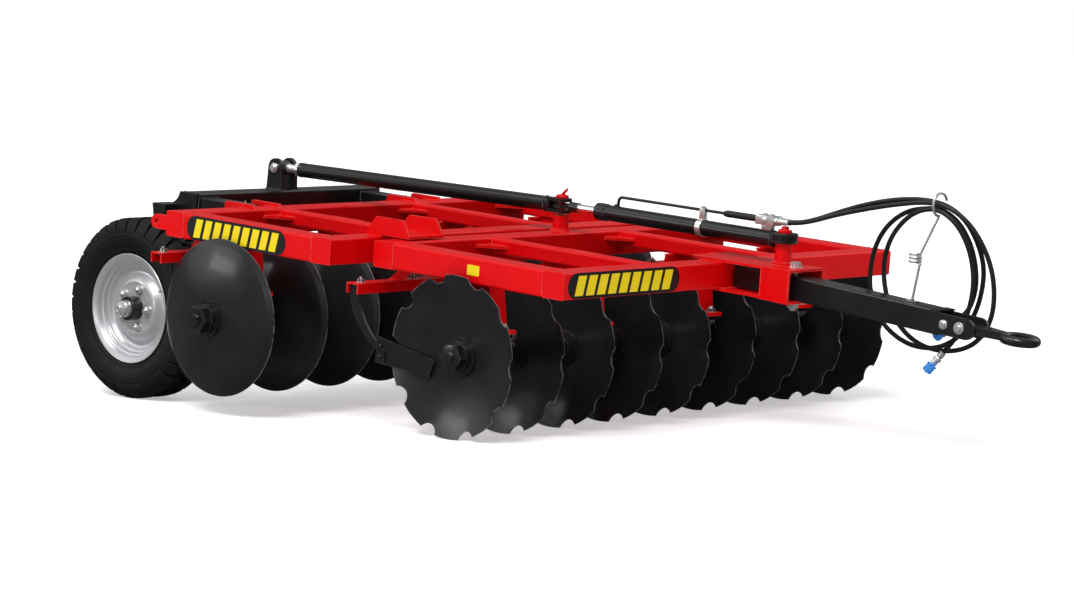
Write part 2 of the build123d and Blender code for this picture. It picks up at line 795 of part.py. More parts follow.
clamp_bolt_hole = bore_z(clamp_bolt_place, tongue_side, clamp_bolt_radius)
spare_hole = rod_z(spare_hole_place, tongue_side, frame_top - 1, frame_top + beam_size, clamp_bolt_radius)
tongue_clamp = joined(clamp_top, clamp_bottom, *clamp_sides) - clamp_bolt_hole - spare_hole

# ---------------------------------------------------------------- tongue and tow eye, on the tongue's own axis
tongue_place = Pos(tongue_start, tongue_side, tongue_start_height) * Rot(0, tongue_droop, 0)
half_width = tongue_width / 2
half_height = tongue_height / 2
tongue_tube = block(0, tongue_length, -half_width, half_width, -half_height, half_height)
tongue_tube = fillet(tongue_tube.edges().filter_by(Axis.X), 8)
tongue_tube = tongue_tube - block(
    -1, tongue_length + 1, -half_width + tongue_wall, half_width - tongue_wall,
    -half_height + tongue_wall, half_height - tongue_wall,
)
cheek_start = tongue_length - cheek_overlap
cheek_end = cheek_start + cheek_length
cheek_half = cheek_height / 2
cheek_outline = [
    Line((cheek_start, -cheek_half), (cheek_end - cheek_half, -cheek_half)),
    ThreePointArc(
        (cheek_end - cheek_half, -cheek_half), (cheek_end, 0), (cheek_end - cheek_half, cheek_half)
    ),
    Line((cheek_end - cheek_half, cheek_half), (cheek_start, cheek_half)),
    Line((cheek_start, cheek_half), (cheek_start, -cheek_half)),
]
cheeks = [plate_xz(cheek_outline, y, y + cheek_thickness) for y in (-half_width, half_width - cheek_thickness)]
tongue_local = joined(tongue_tube, *cheeks)
shank_half = half_width - cheek_thickness
shank_start = tongue_length + 2
eye_ring = Pos(eye_place, 0, 0) * Torus(eye_ring_radius, eye_bar_radius)
shank_outline = [
    (shank_start, -shank_half), (cheek_end, -shank_half), (eye_place - eye_ring_radius, -eye_bar_radius),
    (eye_place - eye_ring_radius, eye_bar_radius), (cheek_end, shank_half), (shank_start, shank_half),
]
shank = plate_xy(shank_outline, -eye_shank_thickness / 2, eye_shank_thickness / 2)
eye_bore_radius = eye_ring_radius - eye_bar_radius
eye_band = Pos(eye_place, 0, 0) * (
    Cylinder(eye_ring_radius, eye_shank_thickness * 0.8) - Cylinder(eye_bore_radius, eye_shank_thickness)
)
tow_eye_local = joined(shank, eye_ring, eye_band) - Pos(eye_place, 0, 0) * Cylinder(
    eye_bore_radius, 3 * eye_bar_radius
)
eye_pins_local = []
for place in eye_pin_places:
    hole = rod_y(place, 0, -half_width, half_width, eye_pin_radius)
    tongue_local = tongue_local - hole
    tow_eye_local = tow_eye_local - hole
    pin = rod_y(place, 0, -half_width - 14, half_width + 14, eye_pin_radius)
    heads = [
        rod_y(place, 0, -half_width - 8, -half_width, eye_pin_radius + 5),
        rod_y(place, 0, half_width, half_width + 8, eye_pin_radius + 5),
    ]
    eye_pins_local.append(joined(pin, *heads))
nut_top = clamp_tip - clamp_plate
clamp_pin = rod_z(clamp_bolt_place, tongue_side, nut_top - 34, frame_top + 30, clamp_bolt_radius)
clamp_bolt = joined(
    clamp_pin,
    hex_z(
        clamp_bolt_place, tongue_side, frame_top + clamp_plate, frame_top + clamp_plate + clamp_nut_height,
        clamp_nut_width,
    ),
    hex_z(clamp_bolt_place, tongue_side, nut_top - clamp_nut_height, nut_top, clamp_nut_width),
)
tongue = tongue_place * tongue_local - clamp_bolt_hole
tow_eye = tongue_place * tow_eye_local
eye_pins = tongue_place * Compound(eye_pins_local)

# ---------------------------------------------------------------- posts, cylinder and rod
post_base = frame_top + clamp_plate
eye_low = line_height - front_eye_drop
eye_high = eye_low + front_eye_thickness
front_post = joined(
    rod_z(front_post_place, tongue_side, post_base, post_base + post_foot_thickness, post_foot_radius),
    rod_z(front_post_place, tongue_side, post_base, eye_low, post_radius),
)
front_pin = joined(
    rod_z(front_post_place, tongue_side, eye_low, eye_high + 12, post_pin_radius),
    rod_z(front_post_place, tongue_side, eye_high, eye_high + 12, post_pin_radius + 10),
    rod_z(front_post_place, tongue_side, eye_high + 12, eye_high + 24, post_pin_radius - 2),
)
middle_post = joined(
    rod_z(middle_post_place, tongue_side, frame_top, frame_top + 8, post_radius + 5),
    rod_z(middle_post_place, tongue_side, frame_top, middle_post_top, post_radius),
) - rod_z(middle_post_place, tongue_side, frame_top + 20, middle_post_top, link_pin_radius + 1)
cylinder_eye = rod_z(front_post_place, tongue_side, eye_low, eye_high, front_eye_radius)
barrel = joined(
    rod_x(tongue_side, line_height, barrel_back, barrel_front, barrel_radius),
    rod_x(tongue_side, line_height, barrel_back, barrel_back + gland_length, gland_radius),
    cylinder_eye,
)
barrel = barrel - rod_x(
    tongue_side, line_height, barrel_back - 1, barrel_back + rod_stroke + rod_room, rod_radius + running_clearance
)
barrel = barrel - bore_z(front_post_place, tongue_side, post_pin_radius)
fork_middle = middle_post_place
fork_slot = link_pin_radius + link_pin_play
fork_front = fork_middle + fork_radius
rod_end = barrel_back + 60.0
fork = rod_z(
    fork_middle, tongue_side, line_height - fork_thickness / 2, line_height + fork_thickness / 2, fork_radius
)
fork = fork - block(
    fork_middle - fork_radius - 1, fork_middle, tongue_side - fork_slot, tongue_side + fork_slot,
    line_height - fork_thickness, line_height + fork_thickness,
) - bore_z(fork_middle, tongue_side, fork_slot)
neck_start = fork_front + fork_neck_gap
fork_web = block(
    fork_middle + fork_slot + 4, neck_start + 4, tongue_side - fork_neck_radius, tongue_side + fork_neck_radius,
    line_height - fork_thickness / 2, line_height + fork_thickness / 2,
)
cylinder_rod = joined(
    fork, fork_web,
    rod_x(tongue_side, line_height, neck_start, neck_start + fork_neck_length, fork_neck_radius),
    rod_x(tongue_side, line_height, neck_start, rod_end, rod_radius),
)

# ---------------------------------------------------------------- oil supply and hoses


def bar_between(start, end, radius):
    """A round bar between two points."""
    along = Vector(*end) - Vector(*start)
    return extrude(Plane(origin=start, z_dir=along) * Circle(radius), amount=along.length)


def hose(name, corners):
    """A hose's tube of straight runs and tangent arcs; prints its smallest and largest radius."""
    radii = []
    for before, here, after in zip(corners, corners[1:], corners[2:]):
        run_in, run_out = here - before, after - here
        half_turn = math.radians(run_in.get_angle(run_out)) / 2
        radii.append(0.45 * min(run_in.length, run_out.length) / math.tan(half_turn))
    path = FilletPolyline(*corners, radius=radii)
    start = Plane(origin=corners[0], z_dir=corners[1] - corners[0])
    tube = sweep(start * Circle(hose_radius), path=path)
    section = math.pi * hose_radius**2
    print(
        f"HOSE {name} radii {min(radii):.0f}..{max(radii):.0f}",
        "all", [round(radius) for radius in radii],
        f"length {path.length:.0f} volume ratio {tube.volume / (section * path.length):.4f}",
    )
    return tube


def coupling(before, end):
    """The coupling on a hose's end and the dust cap on it, along the hose's last run."""
    place = Plane(origin=end, z_dir=end - before)
    height = 0
    steps = []
    for radius, length in coupling_steps:
        steps.append(extrude(place.offset(height) * Circle(radius), amount=length))
        height += length
    cap = extrude(place.offset(height) * Circle(cap_radius), amount=cap_length)
    cap = fillet(cap.edges(), cap_edge)
    return joined(*steps), cap


oil_block_front = oil_block_back + oil_block_length
exit_x = oil_block_front + hose_nut_length
exit_z = line_height + hose_rise
near_exit = Vector(exit_x, tongue_side - hose_pitch / 2, exit_z)
far_exit = Vector(exit_x, tongue_side + hose_pitch / 2, exit_z)
near_hose_points = [near_exit + Vector(*offset) for offset in near_hose_route]
far_hose_points = [far_exit + Vector(*offset) for offset in far_hose_route]
oil_block = joined(
    block(
        oil_block_back, oil_block_front, tongue_side - oil_block_width / 2, tongue_side + oil_block_width / 2,
        oil_block_low, oil_block_low + oil_block_height,
    ),
    block(
        oil_block_back + 20, oil_block_front - 20, tongue_side - oil_foot_width / 2,
        tongue_side + oil_foot_width / 2, line_height, oil_block_low,
    ) - rod_x(tongue_side, line_height, oil_block_back, oil_block_front, barrel_radius),
    *[
        rod_x(
            point.Y, exit_z, oil_block_front, exit_x, hose_nut_radius
        )
        for point in (near_exit, far_exit)
    ],
)
pipe_points = (
    (pipe_back, tongue_side, line_height + barrel_radius - 8),
    (pipe_back + pipe_rise_length, tongue_side, pipe_height),
    (oil_block_back, tongue_side, pipe_height),
)
pipe_path = FilletPolyline(*[Vector(*point) for point in pipe_points], radius=pipe_bend_radius)
pipe_start = Plane(origin=pipe_points[0], z_dir=Vector(*pipe_points[1]) - Vector(*pipe_points[0]))
barrel_room = rod_x(tongue_side, line_height, barrel_back, barrel_front, barrel_radius)
clamp_end = pipe_clamp_place + pipe_clamp_width
pipe_clamp = joined(
    rod_x(tongue_side, line_height, pipe_clamp_place, clamp_end, barrel_radius + pipe_clamp_wall),
    block(
        pipe_clamp_place, clamp_end, tongue_side - pipe_radius - 4, tongue_side + pipe_radius + 4,
        line_height + barrel_radius, pipe_height + pipe_radius + 3,
    ),
)
oil_pipe = joined(
    sweep(pipe_start * Circle(pipe_radius), path=pipe_path),
    bar_between((sleeve_start, tongue_side, pipe_height), pipe_points[2], sleeve_radius),
    pipe_clamp,
    rod_z(pipe_back, tongue_side, line_height, line_height + barrel_radius + port_rise, port_radius),
) - barrel_room
holder_x = exit_x + holder_foot_reach
holder_plate_middle = (holder_x - tongue_start) / math.cos(math.radians(tongue_droop))
tongue_top = tongue_start_height - (holder_x - tongue_start) * droop_slope + half_height
holder_foot = (holder_x, tongue_side, tongue_top + holder_plate_thickness / 2)
holder_coil_place = (holder_x, tongue_side, exit_z - holder_coil_drop)
holder_low = (holder_x + holder_coil_radius, tongue_side, exit_z - holder_coil_drop)
holder_top = (*holder_low[:2], holder_low[2] + holder_coil_turns * holder_coil_pitch)
hook_place = (exit_x + hook_offset[0], tongue_side + hook_offset[1], exit_z + hook_offset[2])
hook_foot = (hook_place[0], hook_place[1], hook_place[2] - hook_radius)
helix = Helix(holder_coil_pitch, holder_coil_turns * holder_coil_pitch, holder_coil_radius)
helix_start = Plane(origin=helix @ 0, z_dir=helix % 0)
holder_coil = Pos(*holder_coil_place) * sweep(helix_start * Circle(holder_wire), path=helix, is_frenet=True)
hook = Pos(*hook_place) * Rot(0, 90, 0) * Rot(180, 0, 0) * Torus(hook_radius, holder_wire, major_angle=hook_sweep)
wire_holder = joined(
    tongue_place * block(
        holder_plate_middle - holder_plate_half, holder_plate_middle + holder_plate_half,
        -holder_plate_half / 2, holder_plate_half / 2, half_height, half_height + holder_plate_thickness,
    ),
    bar_between(holder_foot, holder_low, holder_wire),
    Pos(*holder_low) * Sphere(holder_wire),
    holder_coil,
    Pos(*holder_top) * Sphere(holder_wire),
    bar_between(holder_top, hook_foot, holder_wire),
    Pos(*hook_foot) * Sphere(holder_wire),
    hook,
)
near_hose = hose("near", near_hose_points)
far_hose = hose("far", far_hose_points)
near_coupling, near_cap = coupling(*near_hose_points[-2:])
far_coupling, far_cap = coupling(*far_hose_points[-2:])

# ---------------------------------------------------------------- lift link
clevis_x = cross_beam_back + clevis_ear_width / 2
clevis_z = cross_beam_top + clevis_pin_rise
clevis_side = axle_side
link_run = middle_post_place - clevis_x
link_shift = tongue_side - clevis_side
link_drop = line_height - clevis_z
link_length = math.hypot(link_run, link_shift, link_drop)
link_turn = math.degrees(math.atan2(link_shift, link_run))
link_pitch = math.degrees(math.asin(-link_drop / link_length))
link_place = Pos(clevis_x, clevis_side, clevis_z) * Rot(0, 0, link_turn) * Rot(0, link_pitch, 0)
tube_start = link_eye_radius + link_screw_length
tube_end = link_length - link_plate_radius - 12
link_body = link_place * joined(
    rod_x(0, 0, tube_start, tube_end, link_tube_radius),
    rod_x(0, 0, link_eye_radius - 4, tube_start, link_screw_radius),
)
plate_gap = fork_thickness / 2 + link_play
collar_low = line_height - plate_gap - link_plate_thickness
collar_high = line_height + plate_gap + link_plate_thickness
link_collar = rod_z(middle_post_place, tongue_side, collar_low, collar_high, link_plate_radius)
link_neck = Pos(middle_post_place, tongue_side, 0) * Rot(0, 0, link_turn) * block(
    -link_plate_radius - 14, 0, -link_tube_radius, link_tube_radius, collar_low, collar_high
)
fork_room = Pos(middle_post_place, tongue_side, 0) * block(
    -fork_radius - 3, 200, -fork_radius - 6, fork_radius + 6, line_height - plate_gap, line_height + plate_gap
)
rear_eye = rod_y(clevis_x, clevis_z, clevis_side - link_eye_width / 2, clevis_side + link_eye_width / 2, link_eye_radius)
clevis_bore = bore_y(clevis_x, clevis_z, clevis_pin_radius + running_clearance)
link_pin_hole = bore_z(middle_post_place, tongue_side, link_pin_radius)
lift_link = joined(link_body, link_collar + link_neck - fork_room, rear_eye) - clevis_bore - link_pin_hole
pin_low = middle_post_top + 5
link_pin = joined(
    rod_z(middle_post_place, tongue_side, pin_low, collar_high + 12, link_pin_radius),
    rod_z(middle_post_place, tongue_side, collar_high, collar_high + 12, link_pin_radius + 8),
    Pos(middle_post_place, tongue_side, collar_high + 12 + pin_ring_radius) * Rot(90, 0, pin_ring_turn)
    * Torus(pin_ring_radius, pin_ring_wire),
)

# ---------------------------------------------------------------- axle frame
axle_right = axle_side - axle_half_width
axle_left = axle_side + axle_half_width
cross_beam_front = cross_beam_back + beam_size
cross_bottom = cross_beam_top - beam_size
cross_beam = beam(
    cross_beam_back, cross_beam_front, axle_right, axle_left, cross_bottom, cross_beam_top, Axis.Y
)
clevis_ears = []
ear_gap = (clevis_ear_pitch - clevis_ear_thickness) / 2
for y in (clevis_side - ear_gap - clevis_ear_thickness, clevis_side + ear_gap):
    half = clevis_ear_width / 2
    outline = [
        Line((clevis_x - half, cross_beam_top), (clevis_x + half, cross_beam_top)),
        Line((clevis_x + half, cross_beam_top), (clevis_x + clevis_ear_radius, clevis_z)),
        ThreePointArc(
            (clevis_x + clevis_ear_radius, clevis_z), (clevis_x, clevis_z + clevis_ear_radius),
            (clevis_x - clevis_ear_radius, clevis_z),
        ),
        Line((clevis_x - clevis_ear_radius, clevis_z), (clevis_x - half, cross_beam_top)),
    ]
    clevis_ears.append(plate_xz(outline, y, y + clevis_ear_thickness))
clevis_hole = bore_y(clevis_x, clevis_z, clevis_pin_radius)
axle_clevis = Compound([ear - clevis_hole for ear in clevis_ears])
pin_reach = ear_gap + clevis_ear_thickness
clevis_pin = joined(
    rod_y(clevis_x, clevis_z, clevis_side - pin_reach - 10, clevis_side + pin_reach + 10, clevis_pin_radius),
    rod_y(clevis_x, clevis_z, clevis_side - pin_reach - 8, clevis_side - pin_reach, clevis_pin_radius + 6),
    rod_y(clevis_x, clevis_z, clevis_side + pin_reach, clevis_side + pin_reach + 8, clevis_pin_radius + 6),
)
hinge_bore = bore_y(axle_hinge_place, axle_hinge_height, axle_hinge_pin_radius + running_clearance)
hinge_hole = bore_y(axle_hinge_place, axle_hinge_height, axle_hinge_pin_radius)


def axle_arm(y0, y1):
    """An arm of the axle frame, from the cross beam to its hinge boss."""
    low, high = axle_hinge_height - arm_boss_radius, axle_hinge_height + arm_boss_radius
    bar = block(cross_beam_front, axle_hinge_place, y0, y1, low, high)
    boss = rod_y(axle_hinge_place, axle_hinge_height, y0, y1, arm_boss_radius)
    return joined(bar, boss) - hinge_bore


def axle_lugs(y0, y1):
    """The pair of lugs behind the rear frame's rear beam that holds one arm's hinge pin."""
    lugs = []
    back = axle_hinge_place - arm_boss_radius
    top = frame_top + lug_rise
    for y in (y0 - lug_gap - lug_thickness, y1 + lug_gap):
        outline = [
            Line((rear_frame_back, frame_top), (rear_frame_back + beam_size - 15, frame_top)),
            Line((rear_frame_back + beam_size - 15, frame_top), (rear_frame_back + beam_size - 30, top)),
            Line((rear_frame_back + beam_size - 30, top), (back + 15, top)),
            Line((back + 15, top), (back, axle_hinge_height)),
            ThreePointArc(
                (back, axle_hinge_height), (axle_hinge_place, axle_hinge_height - arm_boss_radius),
                (rear_frame_back, axle_hinge_height - arm_boss_radius * 0.6),
            ),
            Line((rear_frame_back, axle_hinge_height - arm_boss_radius * 0.6), (rear_frame_back, frame_top)),
        ]
        lugs.append(plate_xz(outline, y, y + lug_thickness) - hinge_hole)
    return lugs


def hinge_pin(y0, y1):
    """One arm's hinge pin, with a collar at both ends."""
    low, high = y0 - lug_gap - lug_thickness, y1 + lug_gap + lug_thickness
    x, z, radius = axle_hinge_place, axle_hinge_height, axle_hinge_pin_radius
    return joined(
        rod_y(x, z, low - 8, high + 8, radius), rod_y(x, z, low - 8, low, radius + 7),
        rod_y(x, z, high, high + 8, radius + 7),
    )


arm_spans = ((axle_right, axle_right + beam_size), (axle_left - beam_size, axle_left))
axle_arms = [axle_arm(*span) for span in arm_spans]
rear_lugs = [axle_lugs(*span) for span in arm_spans]
hinge_pins = Compound([hinge_pin(*span) for span in arm_spans])


def axle_leg(inner, way):
    """A wheel leg: a side plate on the cross beam's end and a box leg down to the spindle."""
    y0, y1 = sorted((inner, inner + way * leg_plate_thickness))
    back = leg_back
    low_z = wheel_height - spindle_radius - leg_foot
    shoulder = (cross_beam_back - leg_shoulder[0], cross_beam_top - leg_shoulder[1])
    outline = [
        Line((cross_beam_front, cross_beam_top), (cross_beam_back, cross_beam_top)),
        ThreePointArc((cross_beam_back, cross_beam_top), shoulder, (back + leg_toe, leg_top)),
        Line((back + leg_toe, leg_top), (back, leg_top)),
        Line((back, leg_top), (wheel_place - leg_size / 2, low_z)),
        Line((wheel_place - leg_size / 2, low_z), (wheel_place + leg_size / 2, low_z)),
        Line((wheel_place + leg_size / 2, low_z), (cross_beam_front, cross_bottom)),
        Line((cross_beam_front, cross_bottom), (cross_beam_front, cross_beam_top)),
    ]
    plate = plate_xz(outline, y0, y1)
    leg_y = sorted((inner + way * leg_plate_thickness, inner + way * (leg_plate_thickness + leg_size)))
    box = [
        (back, leg_top), (back + leg_size, leg_top), (wheel_place + leg_size / 2, low_z),
        (wheel_place - leg_size / 2, low_z),
    ]
    leg = plate_xz(box, *leg_y)
    hub_face = inner + way * (leg_plate_thickness + leg_size)
    spindle_end = hub_face + way * spindle_length
    spindle = rod_y(wheel_place, wheel_height, *sorted((hub_face, spindle_end)), spindle_radius)
    return joined(plate, leg, spindle), hub_face


right_leg, right_hub_face = axle_leg(axle_right, -1)
left_leg, left_hub_face = axle_leg(axle_left, 1)

# ---------------------------------------------------------------- wheels
def tread_cutters(middle):
    """Cutters for a tyre's slanting shoulder slots and its two grooves."""
    top = tyre_radius + tread_depth
    floor = tyre_radius - tread_depth
    cutters = []
    for side in (-1, 1):
        outer = side * (tyre_width / 2 + 1)
        outline = [
            (top, side * tread_slot_start), (floor, side * tread_slot_start), (floor, side * tread_slot_bend),
            (tyre_radius - tyre_shoulder_drop - tread_shoulder_depth, outer), (top, outer),
        ]
        slot = plate_xy(outline, -tread_slot_width / 2, tread_slot_width / 2)
        slot = Pos(0, middle, 0) * Rot(side * tread_slot_slant, 0, 0) * slot
        for number in range(tread_slot_count):
            turn = (number + (side + 1) / 4) * 360 / tread_slot_count
            cutters.append(Rot(0, turn, 0) * slot)
        low = middle + side * tread_groove_place - tread_groove_half
        high = middle + side * tread_groove_place + tread_groove_half
        cutters.append(turned([(floor, low), (top, low), (top, high), (floor, high)]))
    return cutters


def tyre(y0):
    """A tyre about Y between y0 and y0 + tyre_width, with its tread blocks."""
    middle = y0 + tyre_width / 2
    shoulder = tyre_radius - tyre_shoulder_drop
    half = tyre_width / 2
    bead = half - bead_inset
    profile = [
        (rim_seat_radius, middle - bead), (tyre_inner_radius + 20, middle - bead - 4),
        (tyre_inner_radius + 75, middle - half), (shoulder - 45, middle - half + 6),
        (shoulder, middle - tyre_tread_half), (tyre_radius, middle - tyre_tread_half + 18),
        (tyre_radius, middle + tyre_tread_half - 18), (shoulder, middle + tyre_tread_half),
        (shoulder - 45, middle + half - 6), (tyre_inner_radius + 75, middle + half),
        (tyre_inner_radius + 20, middle + bead + 4), (rim_seat_radius, middle + bead),
    ]
    return turned(profile) - tread_cutters(middle)


def rim(y0, way):
    """A pressed wheel about Y; way points to its outer face."""
    middle = y0 + tyre_width / 2
    bead = tyre_width / 2 - bead_inset
    seat = rim_seat_radius
    flange = rim_flange_radius
    well = seat - rim_wall
    inner = -way * bead
    outer = way * bead
    lip = way * rim_lip
    disc_back = outer - way * rim_disc_depth
    disc_front = disc_back + way * rim_disc_thickness
    profile = [
        (well, inner), (flange, inner - lip), (flange, inner - lip + way * rim_wall),
        (seat, inner), (seat, outer), (flange, outer + lip - way * rim_wall), (flange, outer + lip),
        (well, outer), (well - 5, outer - way * 9), (well - 13, outer - way * 11),
        (well - 17, outer - way * 20), (well - 26, outer - way * 22), (seat - rim_disc_hollow, outer - way * 34),
        (hub_stud_circle + 34, outer - way * 8), (hub_stud_circle + 18, disc_front),
        (hub_radius + axle_bore_clearance, disc_front), (hub_radius + axle_bore_clearance, disc_back),
        (hub_stud_circle + 22, disc_back), (hub_stud_circle + 38, outer - way * 18),
        (seat - rim_disc_hollow, outer - way * 44), (well - 10, outer - way * 34), (well, outer - way * 30),
    ]
    return turned([(radius, middle + place) for radius, place in profile])


def wheel_faces(y0, way):
    """The hub's flange face, its nose's end, and the rim disc's outer face, along Y."""
    middle = y0 + tyre_width / 2
    flange_face = middle + way * (tyre_width / 2 - bead_inset - rim_disc_depth)
    return flange_face, flange_face + way * hub_nose_length, flange_face + way * rim_disc_thickness


def hub(y0, way, face):
    """A hub about Y with its flange and nose; face is the leg's face it runs against."""
    flange_face, nose_end, _ = wheel_faces(y0, way)
    inner_end = face + way * hub_gap
    bore_end = face + way * (spindle_length + spindle_end_gap)
    flange = rod_y(0, 0, *sorted((flange_face - way * hub_flange_thickness, flange_face)), hub_flange_radius)
    body = rod_y(0, 0, *sorted((inner_end, nose_end)), hub_radius)
    bore = rod_y(0, 0, *sorted((face, bore_end)), spindle_radius + running_clearance)
    return joined(flange, body) - bore


def stud_places():
    """Where the studs stand round the hub, as (x, z)."""
    turns = [2 * math.pi * number / hub_stud_count for number in range(hub_stud_count)]
    return [(hub_stud_circle * math.cos(turn), hub_stud_circle * math.sin(turn)) for turn in turns]


def hub_fittings(y0, way):
    """A hub's collar and end nut, and its studs with their nuts."""
    flange_face, nose_end, disc_face = wheel_faces(y0, way)
    collar_end = nose_end + way * hub_collar_length
    fittings = [
        joined(
            rod_y(0, 0, *sorted((nose_end, collar_end)), hub_collar_radius),
            nut_y(0, 0, collar_end, way, hub_nut_width, hub_nut_length),
        )
    ]
    for x, z in stud_places():
        stud = rod_y(x, z, *sorted((flange_face, flange_face + way * hub_stud_length)), hub_stud_radius)
        fittings.append(joined(stud, nut_y(x, z, disc_face, way, stud_nut_width, stud_nut_height)))
    return Compound(fittings)


wheel_at = Pos(wheel_place, 0, wheel_height)
wheels = {}
for side, way, face in (("right", -1, right_hub_face), ("left", 1, left_hub_face)):
    start = face + way * wheel_gap if way > 0 else face - wheel_gap - tyre_width
    wheels[side + "_tyre"] = wheel_at * tyre(start)
    stud_holes = [bore_y(x, z, hub_stud_radius) for x, z in stud_places()]
    wheels[side + "_rim"] = wheel_at * (rim(start, way) - stud_holes)
    wheels[side + "_hub"] = wheel_at * hub(start, way, face)
    wheels[side + "_hub_fittings"] = wheel_at * hub_fittings(start, way)

# ---------------------------------------------------------------- nodes
nodes = {}
for side, beams in (("front", front_beams), ("rear", rear_beams)):
    for name, solid in beams.items():
        nodes[side + "_frame_" + name] = solid
corner_lug = joined(
    block(
        corner_lug_place, rear_frame_back + beam_wall, rear_right, rear_right + corner_lug_thickness,
        corner_lug_height - corner_lug_radius, corner_lug_height + corner_lug_radius,
    ),
    rod_y(
        corner_lug_place, corner_lug_height, rear_right, rear_right + corner_lug_thickness, corner_lug_radius
    ),
) - rod_y(corner_lug_place, corner_lug_height, rear_right - 1, rear_right + 40, corner_lug_hole)
nodes["rear_frame_rear_beam"] = joined(nodes["rear_frame_rear_beam"], corner_lug)
nodes["rear_frame_axle_lugs"] = Compound([lug for pair in rear_lugs for lug in pair])
nodes["frame_guide"] = frame_guide
nodes["frame_pivot_pin"] = pivot_pin
nodes["front_hangers"] = front_hangers
nodes["rear_hangers"] = rear_hangers
nodes["front_bearings"] = front_bearings
nodes["rear_bearings"] = rear_bearings
nodes["front_scraper_bar"] = front_scraper_bar
nodes["rear_scraper_bar"] = rear_scraper_bar
nodes["front_scrapers"] = front_scrapers
nodes["rear_scrapers"] = rear_scrapers
nodes["front_discs"] = front_discs
nodes["rear_discs"] = rear_discs
nodes["front_gang_axle"] = front_axle
nodes["rear_gang_axle"] = rear_axle
nodes["tongue_clamp"] = tongue_clamp
nodes["tongue"] = tongue
nodes["tow_eye"] = tow_eye
nodes["tongue_pins"] = Compound([clamp_bolt, *eye_pins.solids()])
nodes["front_post"] = joined(front_post, front_pin)
nodes["middle_post"] = middle_post
nodes["cylinder_barrel"] = barrel
nodes["cylinder_rod"] = cylinder_rod
nodes["lift_link"] = lift_link
nodes["link_pin"] = link_pin
nodes["axle_cross_beam"] = cross_beam
nodes["axle_clevis"] = axle_clevis
nodes["clevis_pin"] = clevis_pin
nodes["axle_hinge_pins"] = hinge_pins
nodes["axle_arms"] = Compound(axle_arms)
nodes["axle_right_leg"] = right_leg
nodes["axle_left_leg"] = left_leg
nodes.update(wheels)
nodes["oil_line"] = joined(oil_pipe, oil_block)
nodes["wire_holder"] = wire_holder
cord_nodes = {
    "hose_near": near_hose,
    "hose_far": far_hose,
    "hose_near_coupling": near_coupling,
    "hose_far_coupling": far_coupling,
    "hose_near_cap": near_cap,
    "hose_far_cap": far_cap,
}

# Lean the machine onto its tyres and front discs, and put the origin under the middle of it.
lean = Rot(0, nose_down, 0)
leant = {name: lean * solid for name, solid in nodes.items()}
boxes = [solid.bounding_box() for solid in leant.values()]
low = [min(getattr(box.min, letter) for box in boxes) for letter in "XYZ"]
high = [max(getattr(box.max, letter) for box in boxes) for letter in "XYZ"]
shift = Pos(-(low[0] + high[0]) / 2, -(low[1] + high[1]) / 2, -low[2])
leant.update({name: lean * solid for name, solid in cord_nodes.items()})
for name, solid in leant.items():
    export_step(shift * solid, f"parts/{name}.step")

stance = shift * lean
points = {
    "origin": (0, 0, 0),
    "rear_gang": (-gang_distance, 0, 0),
    "frame_pivot": (pivot_x, pivot_y, frame_bottom),
    "axle_hinge": (axle_hinge_place, axle_side, axle_hinge_height),
    "clevis": (clevis_x, clevis_side, clevis_z),
    "middle_pin": (middle_post_place, tongue_side, line_height),
    "right_wheel": (wheel_place, right_hub_face, wheel_height),
    "left_wheel": (wheel_place, left_hub_face, wheel_height),
    "corner_lug": (corner_lug_place, rear_right + corner_lug_thickness / 2, corner_lug_height),
    "forward": (1000, 0, 0),
    "upward": (0, 0, 1000),
}
for name, point in points.items():
    print("POINT", name, *(round(value, 4) for value in (stance * Pos(*point)).position))
eye_centre = (stance * tongue_place * Pos(eye_place, 0, 0)).position
eye_axis = (stance * tongue_place * Pos(eye_place, 0, 1000)).position
print("POINT tow_eye", *(round(value, 4) for value in eye_centre))
print("POINT tow_eye_up", *(round(value, 4) for value in eye_axis))
print("LEAN", round(nose_down, 4), "size", [round(high[i] - low[i], 1) for i in range(3)])
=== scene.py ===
"""Studio scene of a trailed two-gang disc harrow with a hydraulic transport axle.

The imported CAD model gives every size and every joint. This script dresses it: paint and steel finishes,
smooth hoses, moulded tyres, weld beads, fasteners, panels, a pale floor, soft lights and the camera.
Lengths are in machine millimetres where nothing else is said.
"""

import json
import logging
import math
from dataclasses import dataclass
from enum import Enum
from typing import Dict, List, Optional, Sequence, Tuple

import bmesh
import bpy
from mathutils import Matrix, Vector

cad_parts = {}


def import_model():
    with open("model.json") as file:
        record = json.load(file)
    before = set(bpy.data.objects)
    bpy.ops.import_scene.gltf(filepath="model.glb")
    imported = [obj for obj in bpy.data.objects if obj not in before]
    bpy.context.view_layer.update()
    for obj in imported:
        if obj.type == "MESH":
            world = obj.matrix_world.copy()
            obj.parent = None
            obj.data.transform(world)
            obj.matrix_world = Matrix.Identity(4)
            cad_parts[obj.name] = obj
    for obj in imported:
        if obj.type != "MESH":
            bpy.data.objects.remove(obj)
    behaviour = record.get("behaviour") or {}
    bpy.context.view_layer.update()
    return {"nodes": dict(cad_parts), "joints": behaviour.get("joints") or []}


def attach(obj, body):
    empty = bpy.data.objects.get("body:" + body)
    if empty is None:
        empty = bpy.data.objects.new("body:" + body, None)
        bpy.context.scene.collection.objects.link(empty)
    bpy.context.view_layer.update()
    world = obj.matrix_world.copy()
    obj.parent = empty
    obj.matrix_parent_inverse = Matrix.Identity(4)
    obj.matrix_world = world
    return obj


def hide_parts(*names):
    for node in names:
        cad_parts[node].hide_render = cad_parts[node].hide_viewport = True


logging.basicConfig(level=logging.INFO, format="%(levelname)s %(name)s: %(message)s")
LOG = logging.getLogger("disc_harrow")

